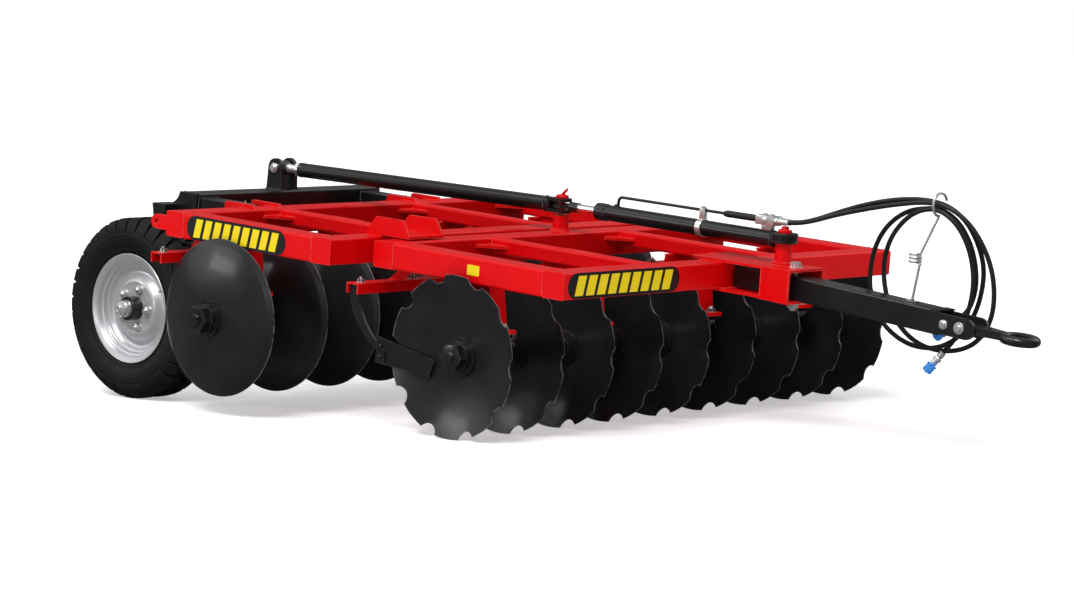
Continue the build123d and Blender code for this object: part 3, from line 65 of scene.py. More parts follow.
Point = Sequence[float]
Seam = Sequence[Point]
Pairs = Sequence[Tuple[float, float]]
Color = Tuple[float, float, float]
Values = Dict[object, object]
MM = 0.001
WHITE = (1.0, 1.0, 1.0, 1.0)
X, Y, Z, DOWN = (1.0, 0.0, 0.0), (0.0, 1.0, 0.0), (0.0, 0.0, 1.0), (0.0, 0.0, -1.0)
# The drawbar, the posts and the cylinder stand on one line across the machine, the cylinder at one height.
MIDDLE, CYLINDER, FRONT_POST, REAR_POST = -92.0, 478.0, 690.0, -425.0


class Body(Enum):
    """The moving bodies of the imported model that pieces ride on."""

    FRONT_FRAME = "front_frame"
    REAR_FRAME = "rear_frame"
    AXLE_FRAME = "axle_frame"
    RIGHT_WHEEL = "right_wheel"
    LEFT_WHEEL = "left_wheel"
    LIFT_LINK = "lift_link"
    FRONT_GANG = "front_gang"
    REAR_GANG = "rear_gang"


class Slot(Enum):
    """The record's material slots."""

    RED_PAINT = "red_paint"
    BLACK_PAINT = "black_paint"
    DISC_STEEL = "disc_steel"
    TYRE_RUBBER = "tyre_rubber"
    WHEEL_SILVER = "wheel_silver"
    ZINC_STEEL = "zinc_steel"
    HOSE_RUBBER = "hose_rubber"
    BLUE_PLASTIC = "blue_plastic"
    ROD_CHROME = "rod_chrome"


@dataclass(frozen=True)
class Stance:
    """How the machine's own level axes stand in the shared frame, nose down on its drawbar.

    Attributes:
        origin: The front gang's axis, which is the machine's own origin, in metres.
        along: The machine's forward direction as a unit vector.
    """

    origin: Vector
    along: Vector

    @classmethod
    def from_joints(cls, joints: Sequence[dict]) -> "Stance":
        """Reads the stance from the two gangs' axes.

        Args:
            joints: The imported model's joints.

        Returns:
            The stance of the machine.
        """
        places = {j["name"]: j.get("pos_m") for j in joints}
        front = Vector(places["front_gang_turn"])
        rear = Vector(places["rear_gang_turn"])
        return cls(front, (front - rear).normalized())

    def turn(self) -> Matrix:
        """Returns the rotation from the machine's axes to the shared frame's."""
        return Matrix((self.along, Y, self.along.cross(Vector(Y)))).transposed()

    def matrix(self) -> Matrix:
        """Returns the transform from machine millimetres to the shared frame's metres."""
        return Matrix.Translation(self.origin) @ self.turn().to_4x4() @ Matrix.Scale(MM, 4)

    def place(self, point: Point) -> Vector:
        """Returns a machine point, given in millimetres, in the shared frame."""
        return self.matrix() @ Vector(point)


@dataclass(frozen=True)
class Finish:
    """A painted, plated or moulded surface, whose edges may carry a painted highlight.

    Attributes:
        name: The material's name.
        slot: The record's slot that it belongs to.
        color: The main colour.
        mottle: The colour that clouds it.
        cloud: How strongly the second colour shows, 0 to 1.
        roughness: The middle roughness.
        metallic: 1 for bare metal.
        coat: The clear coat's weight.
        specular: The level of plain reflection.
        grain: Bump texture features per metre.
        bump: The bump's strength.
        edge: The lighter colour painted on edges as an edge highlight.
        edge_highlight: How strongly the painted edge highlight shows, 0 to 1.
        dust: How much pale dust lies on upward faces, 0 to 1.
    """

    name: str
    slot: Slot
    color: Color
    mottle: Color
    cloud: float = 0.3
    roughness: float = 0.4
    metallic: float = 0.0
    coat: float = 0.0
    specular: float = 0.4
    grain: float = 300.0
    bump: float = 0.05
    # The next two fields paint a lighter colour on edges as a highlight, and set how strongly it shows.
    edge: Color = (0.5, 0.5, 0.5)
    edge_highlight: float = 0.0
    dust: float = 0.0


# Each finish's edge colour is a lighter colour painted on its edges as a highlight.
RED_PAINT = Finish(
    "red_gloss_powder_coat", Slot.RED_PAINT, (0.80, 0.001, 0.003), (0.66, 0.001, 0.003), roughness=0.36, coat=0.04,
    specular=0.12, grain=420, bump=0.03, edge=(0.95, 0.16, 0.12), edge_highlight=0.6, dust=0.012)
BLACK_PAINT = Finish(
    "black_satin_powder_coat", Slot.BLACK_PAINT, (0.006, 0.006, 0.007), (0.014, 0.014, 0.016), cloud=0.4,
    roughness=0.34, coat=0.3, specular=0.25, grain=420, bump=0.03, edge=(0.12, 0.12, 0.125), edge_highlight=0.5, dust=0.012)
TYRE_RUBBER = Finish(
    "tyre_rubber", Slot.TYRE_RUBBER, (0.007, 0.007, 0.0075), (0.016, 0.016, 0.016), cloud=0.5, roughness=0.6,
    specular=0.12, grain=700, bump=0.12, edge=(0.04, 0.039, 0.038), edge_highlight=0.35, dust=0.03)
WHEEL_SILVER = Finish(
    "silver_wheel_paint", Slot.WHEEL_SILVER, (0.52, 0.53, 0.545), (0.40, 0.41, 0.425), roughness=0.34,
    metallic=0.45, coat=0.1, grain=500, bump=0.04, edge=(0.8, 0.8, 0.82), edge_highlight=0.3, dust=0.1)
ZINC_STEEL = Finish(
    "bright_zinc_plate", Slot.ZINC_STEEL, (0.70, 0.70, 0.69), (0.54, 0.55, 0.57), cloud=0.5, roughness=0.3,
    metallic=0.8, grain=260, bump=0.04, edge=(0.85, 0.85, 0.84), edge_highlight=0.4)
HOSE_RUBBER = Finish(
    "hose_cover", Slot.HOSE_RUBBER, (0.013, 0.013, 0.014), (0.03, 0.03, 0.031), cloud=0.4, roughness=0.45,
    specular=0.25, grain=900, bump=0.1, dust=0.015)
BLUE_PLASTIC = Finish(
    "blue_dust_cap", Slot.BLUE_PLASTIC, (0.02, 0.26, 0.78), (0.012, 0.17, 0.6), grain=500, bump=0.03,
    edge=(0.12, 0.36, 0.8), edge_highlight=0.4)
ROD_CHROME = Finish(
    "hard_chrome", Slot.ROD_CHROME, (0.78, 0.78, 0.8), (0.66, 0.67, 0.7), roughness=0.12, metallic=1.0, grain=900,
    bump=0.01)
DISC_STEEL = Finish(
    "disc_steel", Slot.DISC_STEEL, (0.010, 0.0105, 0.012), (0.02, 0.021, 0.024), cloud=0.4, roughness=0.34,
    coat=0.22, specular=0.2, grain=160, bump=0.012, edge=(0.4, 0.4, 0.41), edge_highlight=0.8)
PANEL_BLACK = Finish(
    "black_panel_film", Slot.BLACK_PAINT, (0.01, 0.01, 0.011), (0.016, 0.016, 0.017), roughness=0.35, bump=0.01)
PANEL_YELLOW = Finish(
    "yellow_panel_film", Slot.RED_PAINT, (1.0, 0.76, 0.0), (0.95, 0.68, 0.0), roughness=0.38, bump=0.01)
FINISHES = (RED_PAINT, BLACK_PAINT, TYRE_RUBBER, WHEEL_SILVER, ZINC_STEEL, HOSE_RUBBER, BLUE_PLASTIC, ROD_CHROME,
            DISC_STEEL)


class NodeTree:
    """A short way to add and join nodes."""

    def __init__(self, tree: bpy.types.NodeTree) -> None:
        """Takes the tree to build in."""
        self.tree = tree

    def add(self, kind: str, inputs: Optional[Values] = None, **settings: object) -> bpy.types.Node:
        """Adds a node.

        Args:
            kind: The node's type.
            inputs: Values or output sockets, by input name or number.
            **settings: The node's own properties.

        Returns:
            The new node.
        """
        node = self.tree.nodes.new(kind)
        for key, value in settings.items():
            setattr(node, key, value)
        for key, value in (inputs or {}).items():
            if isinstance(value, bpy.types.NodeSocket):
                self.tree.links.new(value, node.inputs[key])
            else:
                node.inputs[key].default_value = value
        return node


class Shader(NodeTree):
    """A material in the making."""

    def __init__(self, name: str) -> None:
        """Starts an empty material.

        Args:
            name: The material's name.
        """
        self.material = bpy.data.materials.new(name)
        self.material.use_nodes = True
        super().__init__(self.material.node_tree)
        self.tree.nodes.clear()

    def close(self, surface: bpy.types.Node) -> bpy.types.Material:
        """Shows a surface node's shader and returns the material."""
        self.add("ShaderNodeOutputMaterial", {"Surface": surface.outputs[0]})
        return self.material

    def math(self, operation: str, first: object, second: object, clamp: bool = False) -> bpy.types.NodeSocket:
        """Returns the output of a maths node on two values or sockets."""
        return self.add("ShaderNodeMath", {0: first, 1: second}, operation=operation, use_clamp=clamp).outputs[0]

    def mix(self, amount: object, first: object, second: Color) -> bpy.types.NodeSocket:
        """Returns the output of a mix of a colour or socket and a colour."""
        start = (*first, 1.0) if isinstance(first, tuple) else first
        return self.add("ShaderNodeMix", {0: amount, 6: start, 7: (*second, 1.0)}, data_type="RGBA").outputs[2]

    def noise(self, where: object, scale: float, detail: float) -> bpy.types.NodeSocket:
        """Returns a noise texture's value, 0 to 1."""
        return self.add("ShaderNodeTexNoise", {"Vector": where, "Scale": scale, "Detail": detail}).outputs[0]

    def ramp(self, value: object, low: float, high: float) -> bpy.types.NodeSocket:
        """Returns the value stretched so that low gives 0 and high gives 1."""
        return self.add("ShaderNodeMapRange", {"Value": value, "From Min": low, "From Max": high},
                        interpolation_type="SMOOTHSTEP").outputs[0]


class FinishBook:
    """Builds each finish's material once."""

    EDGE_RADIUS = 0.004
    DUST = (0.42, 0.38, 0.33)
    STREAK = 0.16

    def __init__(self) -> None:
        """Starts with no materials."""
        self._made: Dict[str, bpy.types.Material] = {}

    def material(self, finish: Finish) -> bpy.types.Material:
        """Returns the finish's material, building it the first time.

        Args:
            finish: The finish to build.

        Returns:
            Its material.
        """
        if finish.name not in self._made:
            self._made[finish.name] = self._build(finish)
            LOG.info("finish %s", finish.name)
        return self._made[finish.name]

    def _build(self, finish: Finish) -> bpy.types.Material:
        """Builds clouded colour, dust on top faces, painted edge highlights and fine bumps.

        Args:
            finish: The finish to build.

        Returns:
            The new material.
        """
        shader = Shader(finish.name)
        where = shader.add("ShaderNodeTexCoord").outputs["Object"]
        cloud = shader.ramp(shader.noise(where, 7.0, 6.0), 0.38, 0.68)
        color = shader.mix(shader.math("MULTIPLY", cloud, finish.cloud), finish.color, finish.mottle)
        # A lighter colour painted on edges, in patches, as an edge highlight.
        if finish.edge_highlight:
            color = shader.mix(self._painted_edge_highlight_mask(shader, where, finish.edge_highlight), color, finish.edge)
        if finish.dust:
            color = shader.mix(self._dust(shader, where, finish.dust), color, self.DUST)
        streak = shader.math("MULTIPLY", shader.noise(where, 23.0, 5.0), self.STREAK)
        rough = shader.math("ADD", streak, finish.roughness - self.STREAK / 2, clamp=True)
        grain = shader.noise(where, finish.grain, 3.0)
        bump = shader.add("ShaderNodeBump", {"Strength": finish.bump, "Distance": 0.002, "Height": grain})
        return shader.close(shader.add("ShaderNodeBsdfPrincipled", {
            "Base Color": color, "Roughness": rough, "Metallic": finish.metallic, "Coat Weight": finish.coat,
            "Coat Roughness": 0.15, "Specular IOR Level": finish.specular, "Normal": bump.outputs[0]}))

    def _painted_edge_highlight_mask(self, shader: Shader, where: object, edge_highlight: float) -> bpy.types.NodeSocket:
        """Masks the edges, in patches, where a lighter colour is painted as an edge highlight.

        Args:
            shader: The material in the making.
            where: The texture coordinate.
            edge_highlight: The mask's strength.

        Returns:
            The mask.
        """
        plain = shader.add("ShaderNodeNewGeometry").outputs["Normal"]
        rounded = shader.add("ShaderNodeBevel", {"Radius": self.EDGE_RADIUS}, samples=4).outputs[0]
        meet = shader.add("ShaderNodeVectorMath", {0: plain, 1: rounded}, operation="DOT_PRODUCT").outputs["Value"]
        patchy = shader.ramp(shader.noise(where, 31.0, 4.0), 0.30, 0.62)
        return shader.math("MULTIPLY", shader.math("MULTIPLY", shader.ramp(meet, 0.985, 0.86), patchy), edge_highlight)

    def _dust(self, shader: Shader, where: object, amount: float) -> bpy.types.NodeSocket:
        """Masks the upward faces that dust settles on.

        Args:
            shader: The material in the making.
            where: The texture coordinate.
            amount: The mask's strength.

        Returns:
            The mask.
        """
        normal = shader.add("ShaderNodeNewGeometry").outputs["Normal"]
        upward = shader.ramp(shader.add("ShaderNodeSeparateXYZ", {0: normal}).outputs[2], 0.2, 1.0)
        patchy = shader.ramp(shader.noise(where, 5.0, 7.0), 0.35, 0.75)
        return shader.math("MULTIPLY", shader.math("MULTIPLY", upward, patchy), amount)


def link(obj: bpy.types.Object) -> bpy.types.Object:
    """Puts an object in the scene and returns it."""
    bpy.context.scene.collection.objects.link(obj)
    return obj


@dataclass(frozen=True)
class Lamp:
    """One soft white lamp.

    Attributes:
        name: The lamp's name.
        energy: A sun's strength, or a panel's power in watts.
        place: Where it stands, in metres.
        spread: A sun's own width in degrees.
        sides: A panel's width and height in metres. A sun has none.
    """

    name: str
    energy: float
    place: Point
    spread: float = 0.0
    sides: Tuple[float, ...] = ()

    def add(self) -> None:
        """Adds the lamp, aimed at the machine. A panel shows only in what reflects."""
        data = bpy.data.lights.new(self.name, "AREA" if self.sides else "SUN")
        data.energy = self.energy
        aim = Vector(self.place)
        if self.sides:
            data.shape = "RECTANGLE"
            data.size, data.size_y = self.sides
            aim -= Vector((0, 0, 0.5))
        else:
            data.angle = math.radians(self.spread)
        lamp = link(bpy.data.objects.new(self.name, data))
        lamp.location = self.place
        lamp.rotation_euler = aim.to_track_quat("Z", "Y").to_euler()
        lamp.visible_camera = lamp.visible_diffuse = not self.sides


LAMPS = (
    Lamp("key_sun", 1.9, (3.0, -8.0, 9.5), spread=24), Lamp("fill_sun", 0.55, (-8.0, -5.0, 6.0), spread=50),
    Lamp("back_sun", 0.5, (2.0, 9.0, 6.0), spread=40), Lamp("streak_box", 170.0, (0.5, -2.5, 5.0), sides=(5.0, 0.3)),
    Lamp("side_box", 60.0, (-5.6, -6.6, 2.9), sides=(2.8, 0.9)),
    Lamp("front_box", 45.0, (-0.2, -7.5, 1.5), sides=(0.6, 2.2)))


@dataclass(frozen=True)
class Studio:
    """The floor, lights and camera.

    Attributes:
        stance: How the machine stands.
        lens: The camera's focal length in millimetres on a 36 mm sensor.
        eye: The camera's place in machine millimetres.
        yaw: The aim's turn about the machine's up axis, in degrees.
        pitch: The aim's fall below the machine's level, in degrees.
        roll: The camera's roll about its aim, in degrees.
        surround: The strength of the white surroundings as a light.
        horizon: The height and shade where the surroundings are darkest, and where they are white.
        glow: What the floor adds to its own lit colour before the camera.
        floor: The floor's grey.
        mirrored: The floor's grey in what reflects it.
        reach: The floor's half width in metres.
    """

    stance: Stance
    lens: float = 110.75
    eye: Point = (8142.0, -9939.0, 1815.0)
    yaw: float = 41.34
    pitch: float = 7.55
    roll: float = 3.94
    surround: float = 0.42
    horizon: Pairs = ((0.05, 0.22), (0.75, 1.0))
    glow: float = 0.42
    floor: float = 0.93
    mirrored: float = 0.2
    reach: float = 150.0

    def add_camera(self) -> None:
        """Adds the camera and makes it the scene's own."""
        a, e, roll = (math.radians(v) for v in (self.yaw, self.pitch, self.roll))
        aim = Vector((-math.sin(a) * math.cos(e), math.cos(a) * math.cos(e), -math.sin(e)))
        level = Vector((math.cos(a), math.sin(a), 0))
        top = level.cross(aim)
        right = math.cos(roll) * level + math.sin(roll) * top
        up = -math.sin(roll) * level + math.cos(roll) * top
        turn = self.stance.turn()
        axes = Matrix((turn @ right, turn @ up, turn @ -aim)).transposed()
        data = bpy.data.cameras.new("studio_camera")
        data.lens = self.lens
        data.clip_end = 400
        camera = link(bpy.data.objects.new("studio_camera", data))
        camera.matrix_world = Matrix.Translation(self.stance.place(self.eye)) @ axes.to_4x4()
        bpy.context.scene.camera = camera
        LOG.info("camera at %s", tuple(round(v, 3) for v in camera.location))

    def add_floor(self) -> None:
        """Adds the plain pale floor, which keeps the machine's shadow."""
        mesh = bpy.data.meshes.new("floor")
        corners = ((-1, -1), (1, -1), (1, 1), (-1, 1))
        mesh.from_pydata([(x * self.reach, y * self.reach, 0) for x, y in corners], [], [(0, 1, 2, 3)])
        shader = Shader("pale_floor")
        pale, mirrored = (shader.add("ShaderNodeBsdfDiffuse", {"Color": (grey, grey, grey, 1)}).outputs[0]
                          for grey in (self.floor, self.mirrored))
        glow = shader.add("ShaderNodeEmission", {"Color": WHITE, "Strength": self.glow})
        shown = shader.add("ShaderNodeAddShader", {0: pale, 1: glow.outputs[0]}).outputs[0]
        rays = shader.add("ShaderNodeLightPath")
        seen = shader.add("ShaderNodeMixShader", {0: rays.outputs["Is Camera Ray"], 1: pale, 2: shown}).outputs[0]
        mesh.materials.append(shader.close(
            shader.add("ShaderNodeMixShader", {0: rays.outputs["Is Glossy Ray"], 1: seen, 2: mirrored})))
        link(bpy.data.objects.new("floor", mesh))

    def add_lights(self) -> None:
        """Adds white surroundings that are darker near the horizon, three suns and three soft panels."""
        world = bpy.data.worlds.new("studio_world")
        world.use_nodes = True
        made = NodeTree(world.node_tree)
        where = made.add("ShaderNodeTexCoord").outputs["Generated"]
        height = made.add("ShaderNodeSeparateXYZ", {0: where}).outputs["Z"]
        sky = made.add("ShaderNodeValToRGB", {0: height})
        for stop, (place, shade) in zip(sky.color_ramp.elements, self.horizon):
            stop.position, stop.color = place, (shade, shade, shade, 1)
        lighting = made.add("ShaderNodeBackground", {"Color": sky.outputs[0], "Strength": self.surround})
        shown = made.add("ShaderNodeBackground", {"Color": WHITE, "Strength": 1.0})
        camera = made.add("ShaderNodeLightPath").outputs["Is Camera Ray"]
        choice = made.add("ShaderNodeMixShader", {0: camera, 1: lighting.outputs[0], 2: shown.outputs[0]})
        made.tree.links.new(choice.outputs[0], made.tree.nodes["World Output"].inputs["Surface"])
        bpy.context.scene.world = world
        for lamp in LAMPS:
            lamp.add()
        bpy.context.scene.view_settings.view_transform = "Standard"


def spokes(count: int, closed: bool = False) -> List[Tuple[float, float]]:
    """Returns the cosine and sine of a circle's equal steps, with the first again where it is closed."""
    return [(math.cos(t), math.sin(t)) for t in (2 * math.pi * n / count for n in range(count + closed))]


def ridges(count: int, start: float, pitch: float, steps: Pairs) -> List[Tuple[float, float]]:
    """Returns a turned profile's (radius, along) steps, repeated from a start at a pitch."""
    return [(radius, start + pitch * n + along) for n in range(count) for radius, along in steps]


class Shape:
    """Vertices and faces in the making, in machine millimetres."""

    def __init__(self) -> None:
        """Starts empty."""
        self.verts: List[Vector] = []
        self.faces: List[Tuple[int, ...]] = []

    @staticmethod
    def basis(axis: Point) -> Tuple[Vector, Vector, Vector]:
        """Finds two directions across an axis.

        Args:
            axis: The axis.

        Returns:
            The two directions, and the axis's own unit vector.
        """
        along = Vector(axis).normalized()
        side = Vector(Z).cross(along)
        side = Vector(X) if side.length < 1e-6 else side.normalized()
        return side, along.cross(side), along

    @classmethod
    def ring(cls, centre: Point, axis: Point, radius: float, steps: int = 48, closed: bool = True) -> List[Vector]:
        """Returns the points of a circle round an axis, with the first again where it is closed."""
        side, up, _ = cls.basis(axis)
        return [Vector(centre) + (side * c + up * s) * radius for c, s in spokes(steps, closed)]

    def skin(self, rings: Sequence[Sequence[Vector]], closed: bool = False, capped: bool = False) -> "Shape":
        """Joins rings of equal size with quads.

        Args:
            rings: The rings of points, each taken as closed.
            closed: Joins the last ring to the first.
            capped: Fills the first and the last ring.

        Returns:
            This shape.
        """
        first, size = len(self.verts), len(rings[0])
        for ring in rings:
            self.verts.extend(ring)
        for row in range(len(rings) if closed else len(rings) - 1):
            here, there = first + row * size, first + (row + 1) % len(rings) * size
            for step in range(size):
                after = (step + 1) % size
                self.faces.append((here + step, here + after, there + after, there + step))
        if capped:
            last = first + (len(rings) - 1) * size
            self.faces += [tuple(range(first, first + size)), tuple(range(last, last + size))]
        return self

    def lathe(self, profile: Pairs, centre: Point, axis: Point, steps: int = 64) -> "Shape":
        """Turns a profile about an axis. One that starts off the axis is closed to a ring.

        Args:
            profile: The (radius, along) points.
            centre: The axis's start.
            axis: The axis.
            steps: How many steps each circle has.

        Returns:
            This shape.
        """
        along = self.basis(axis)[2]
        rings = [self.ring(Vector(centre) + along * reach, axis, radius, steps, False) for radius, reach in profile]
        return self.skin(rings, closed=profile[0][0] > 0)

    def rod(self, start: Point, end: Point, radius: float, chamfer: float = 0.6, steps: int = 16) -> "Shape":
        """Adds a round bar with chamfered ends.

        Args:
            start: One end.
            end: The other end.
            radius: The bar's radius.
            chamfer: The chamfers' width.
            steps: How many sides it has.

        Returns:
            This shape.
        """
        run = Vector(end) - Vector(start)
        neck, long = radius - chamfer, run.length
        profile = ((0, 0), (neck, 0), (radius, chamfer), (radius, long - chamfer), (neck, long), (0, long))
        return self.lathe(profile, start, run, steps)

    def prism(self, outline: Pairs, origin: Point, across: Point, up: Point, depth: float) -> "Shape":
        """Extrudes an outline along the cross product of its two directions.

        Args:
            outline: The points along the two directions.
            origin: Where both are 0.
            across: The first direction.
            up: The second direction.
            depth: How far it goes.

        Returns:
            This shape.
        """
        right, top = Vector(across).normalized(), Vector(up).normalized()
        flat = [Vector(origin) + right * a + top * b for a, b in outline]
        out = right.cross(top) * depth
        return self.skin([flat, [point + out for point in flat]], capped=True)

    def box(self, low: Point, high: Point) -> "Shape":
        """Adds a box between two corners."""
        wide, deep, tall = (b - a for a, b in zip(low, high))
        return self.prism(((0, 0), (wide, 0), (wide, deep), (0, deep)), low, X, Y, tall)

    def tube(self, line: Seam, radius: float, sides: int = 8) -> "Shape":
        """Sweeps a round section along a line.

        Args:
            line: The line's points.
            radius: The tube's radius.
            sides: How many sides it has.

        Returns:
            This shape.
        """
        points = [Vector(point) for point in line]
        rings, side = [], None
        for number, point in enumerate(points):
            before, after = points[max(number - 1, 0)], points[min(number + 1, len(points) - 1)]
            along = (after - before).normalized()
            side = self.basis(along)[0] if side is None else (side - along * side.dot(along)).normalized()
            up = along.cross(side)
            rings.append([point + (side * c + up * s) * radius for c, s in spokes(sides)])
        return self.skin(rings, capped=True)


def rounded_outline(width: float, height: float, radius: float, steps: int) -> List[Tuple[float, float]]:
    """Returns the points of a rounded rectangle, counter-clockwise.

    Args:
        width: Its width.
        height: Its height.
        radius: Its corners' radius.
        steps: How many steps each corner has.

    Returns:
        The points.
    """
    corners = ((width - radius, height - radius, 0), (radius, height - radius, 90), (radius, radius, 180),
               (width - radius, radius, 270))
    turns = [(x, y, math.radians(start + 90 * n / steps)) for x, y, start in corners for n in range(steps + 1)]
    return [(x + radius * math.cos(turn), y + radius * math.sin(turn)) for x, y, turn in turns]


def hex_nut(across: float, height: float, washer: float, bolt: float, rise: float) -> Shape:
    """Models a chamfered hexagon nut on its washer, with the bolt's threaded end.

    Args:
        across: The hexagon's width across its flats.
        height: The nut's height above its foot.
        washer: The washer's radius.
        bolt: The bolt's radius.
        rise: How far the bolt stands out of the nut.

    Returns:
        The nut, standing on its own origin.
    """
    steps, thick, thread, sixth = 48, 2.6, 2.0, math.pi / 3
    shape = Shape().lathe(((bolt - 1, -1.0), (washer, -1.0), (washer, thick - 0.6), (washer - 0.8, thick),
                           (bolt - 1, thick)), (0, 0, 0), Z, steps)
    crown = across / 2 * 0.97
    rings: List[List[Vector]] = [[], [], [], []]
    for step, (c, s) in enumerate(spokes(steps)):
        flat = (2 * math.pi * step / steps + sixth / 2) % sixth - sixth / 2
        reach = across / 2 / math.cos(flat)
        drop = (reach - crown) * 0.58
        low, high = thick + drop * 0.4, height - drop
        for ring, (radius, level) in zip(rings, ((crown, thick), (reach, low), (reach, high), (crown, height))):
            ring.append(Vector((radius * c, radius * s, level)))
    shape.skin(rings, capped=True)
    ridge = ridges(int(rise // thread), height, thread, ((bolt - 0.9, 0), (bolt, thread / 2)))
    top = height + rise
    return shape.lathe([(0, height - thread), *ridge, (bolt - 1.2, top), (0, top)], (0, 0, 0), Z, 24)


def bolt_head(radius: float) -> Shape:
    """Returns a low domed bolt head on its origin."""
    profile = ((0, -1.0), (radius, -1.0), (radius, 1.0), (radius * 0.9, 3.0), (radius * 0.6, 4.6), (0, 5.4))
    return Shape().lathe(profile, (0, 0, 0), Z, 24)


def grease_nipple() -> Shape:
    """Returns a grease nipple: its hexagon, neck and ball."""
    shape = Shape().skin([Shape.ring((0, 0, level), Z, 5.0, 6, False) for level in (-1.0, 4.0)], capped=True)
    profile = ((0, 3.5), (3.2, 3.5), (3.2, 7.0), (2.2, 8.0), (2.2, 9.5), (3.3, 11.0), (2.8, 13.0), (0, 13.6))
    return shape.lathe(profile, (0, 0, 0), Z, 16)


@dataclass(frozen=True)
class Spot:
    """Where a repeated form stands.

    Attributes:
        place: Its foot.
        aim: The direction it rises in.
        side: The direction its own X points to, as nearly as it can.
        size: Its scale.
    """

    place: Point
    aim: Point = Z
    side: Point = X
    size: float = 1.0


class GeometryGroup(NodeTree):
    """A geometry node group that repeats a form."""

    def __init__(self, name: str, **sockets: str) -> None:
        """Starts a group that takes and gives geometry.

        Args:
            name: The group's name.
            **sockets: The kinds of its other inputs, by name.
        """
        self.group = bpy.data.node_groups.new(name, "GeometryNodeTree")
        super().__init__(self.group)
        face = self.group.interface
        face.new_socket("Geometry", in_out="INPUT", socket_type="NodeSocketGeometry")
        for label, kind in sockets.items():
            face.new_socket(label, in_out="INPUT", socket_type="NodeSocket" + kind)
        face.new_socket("Geometry", in_out="OUTPUT", socket_type="NodeSocketGeometry")
        self.inputs = self.group.nodes.new("NodeGroupInput").outputs

    def turned(self, vector: bpy.types.NodeSocket) -> bpy.types.NodeSocket:
        """Returns the rotation that turns Z to a vector."""
        return self.add("FunctionNodeAlignRotationToVector", {"Vector": vector}, axis="Z").outputs[0]

    def close(self, points: bpy.types.NodeSocket, form: bpy.types.NodeSocket, turn: bpy.types.NodeSocket,
              size: bpy.types.NodeSocket) -> bpy.types.NodeTree:
        """Puts the form on the points as real, painted geometry and ends the group.

        Args:
            points: The points.
            form: The form that they carry.
            turn: Its rotation on each point.
            size: Its scale on each point.

        Returns:
            The group.
        """
        laid = self.add("GeometryNodeInstanceOnPoints", {"Points": points, "Instance": form, "Rotation": turn,
                                                         "Scale": size})
        real = self.add("GeometryNodeRealizeInstances", {"Geometry": laid.outputs[0]})
        painted = self.add("GeometryNodeSetMaterial", {"Geometry": real.outputs[0],
                                                       "Material": self.inputs["Material"]})
        self.add("NodeGroupOutput", {0: painted.outputs[0]})
        return self.group


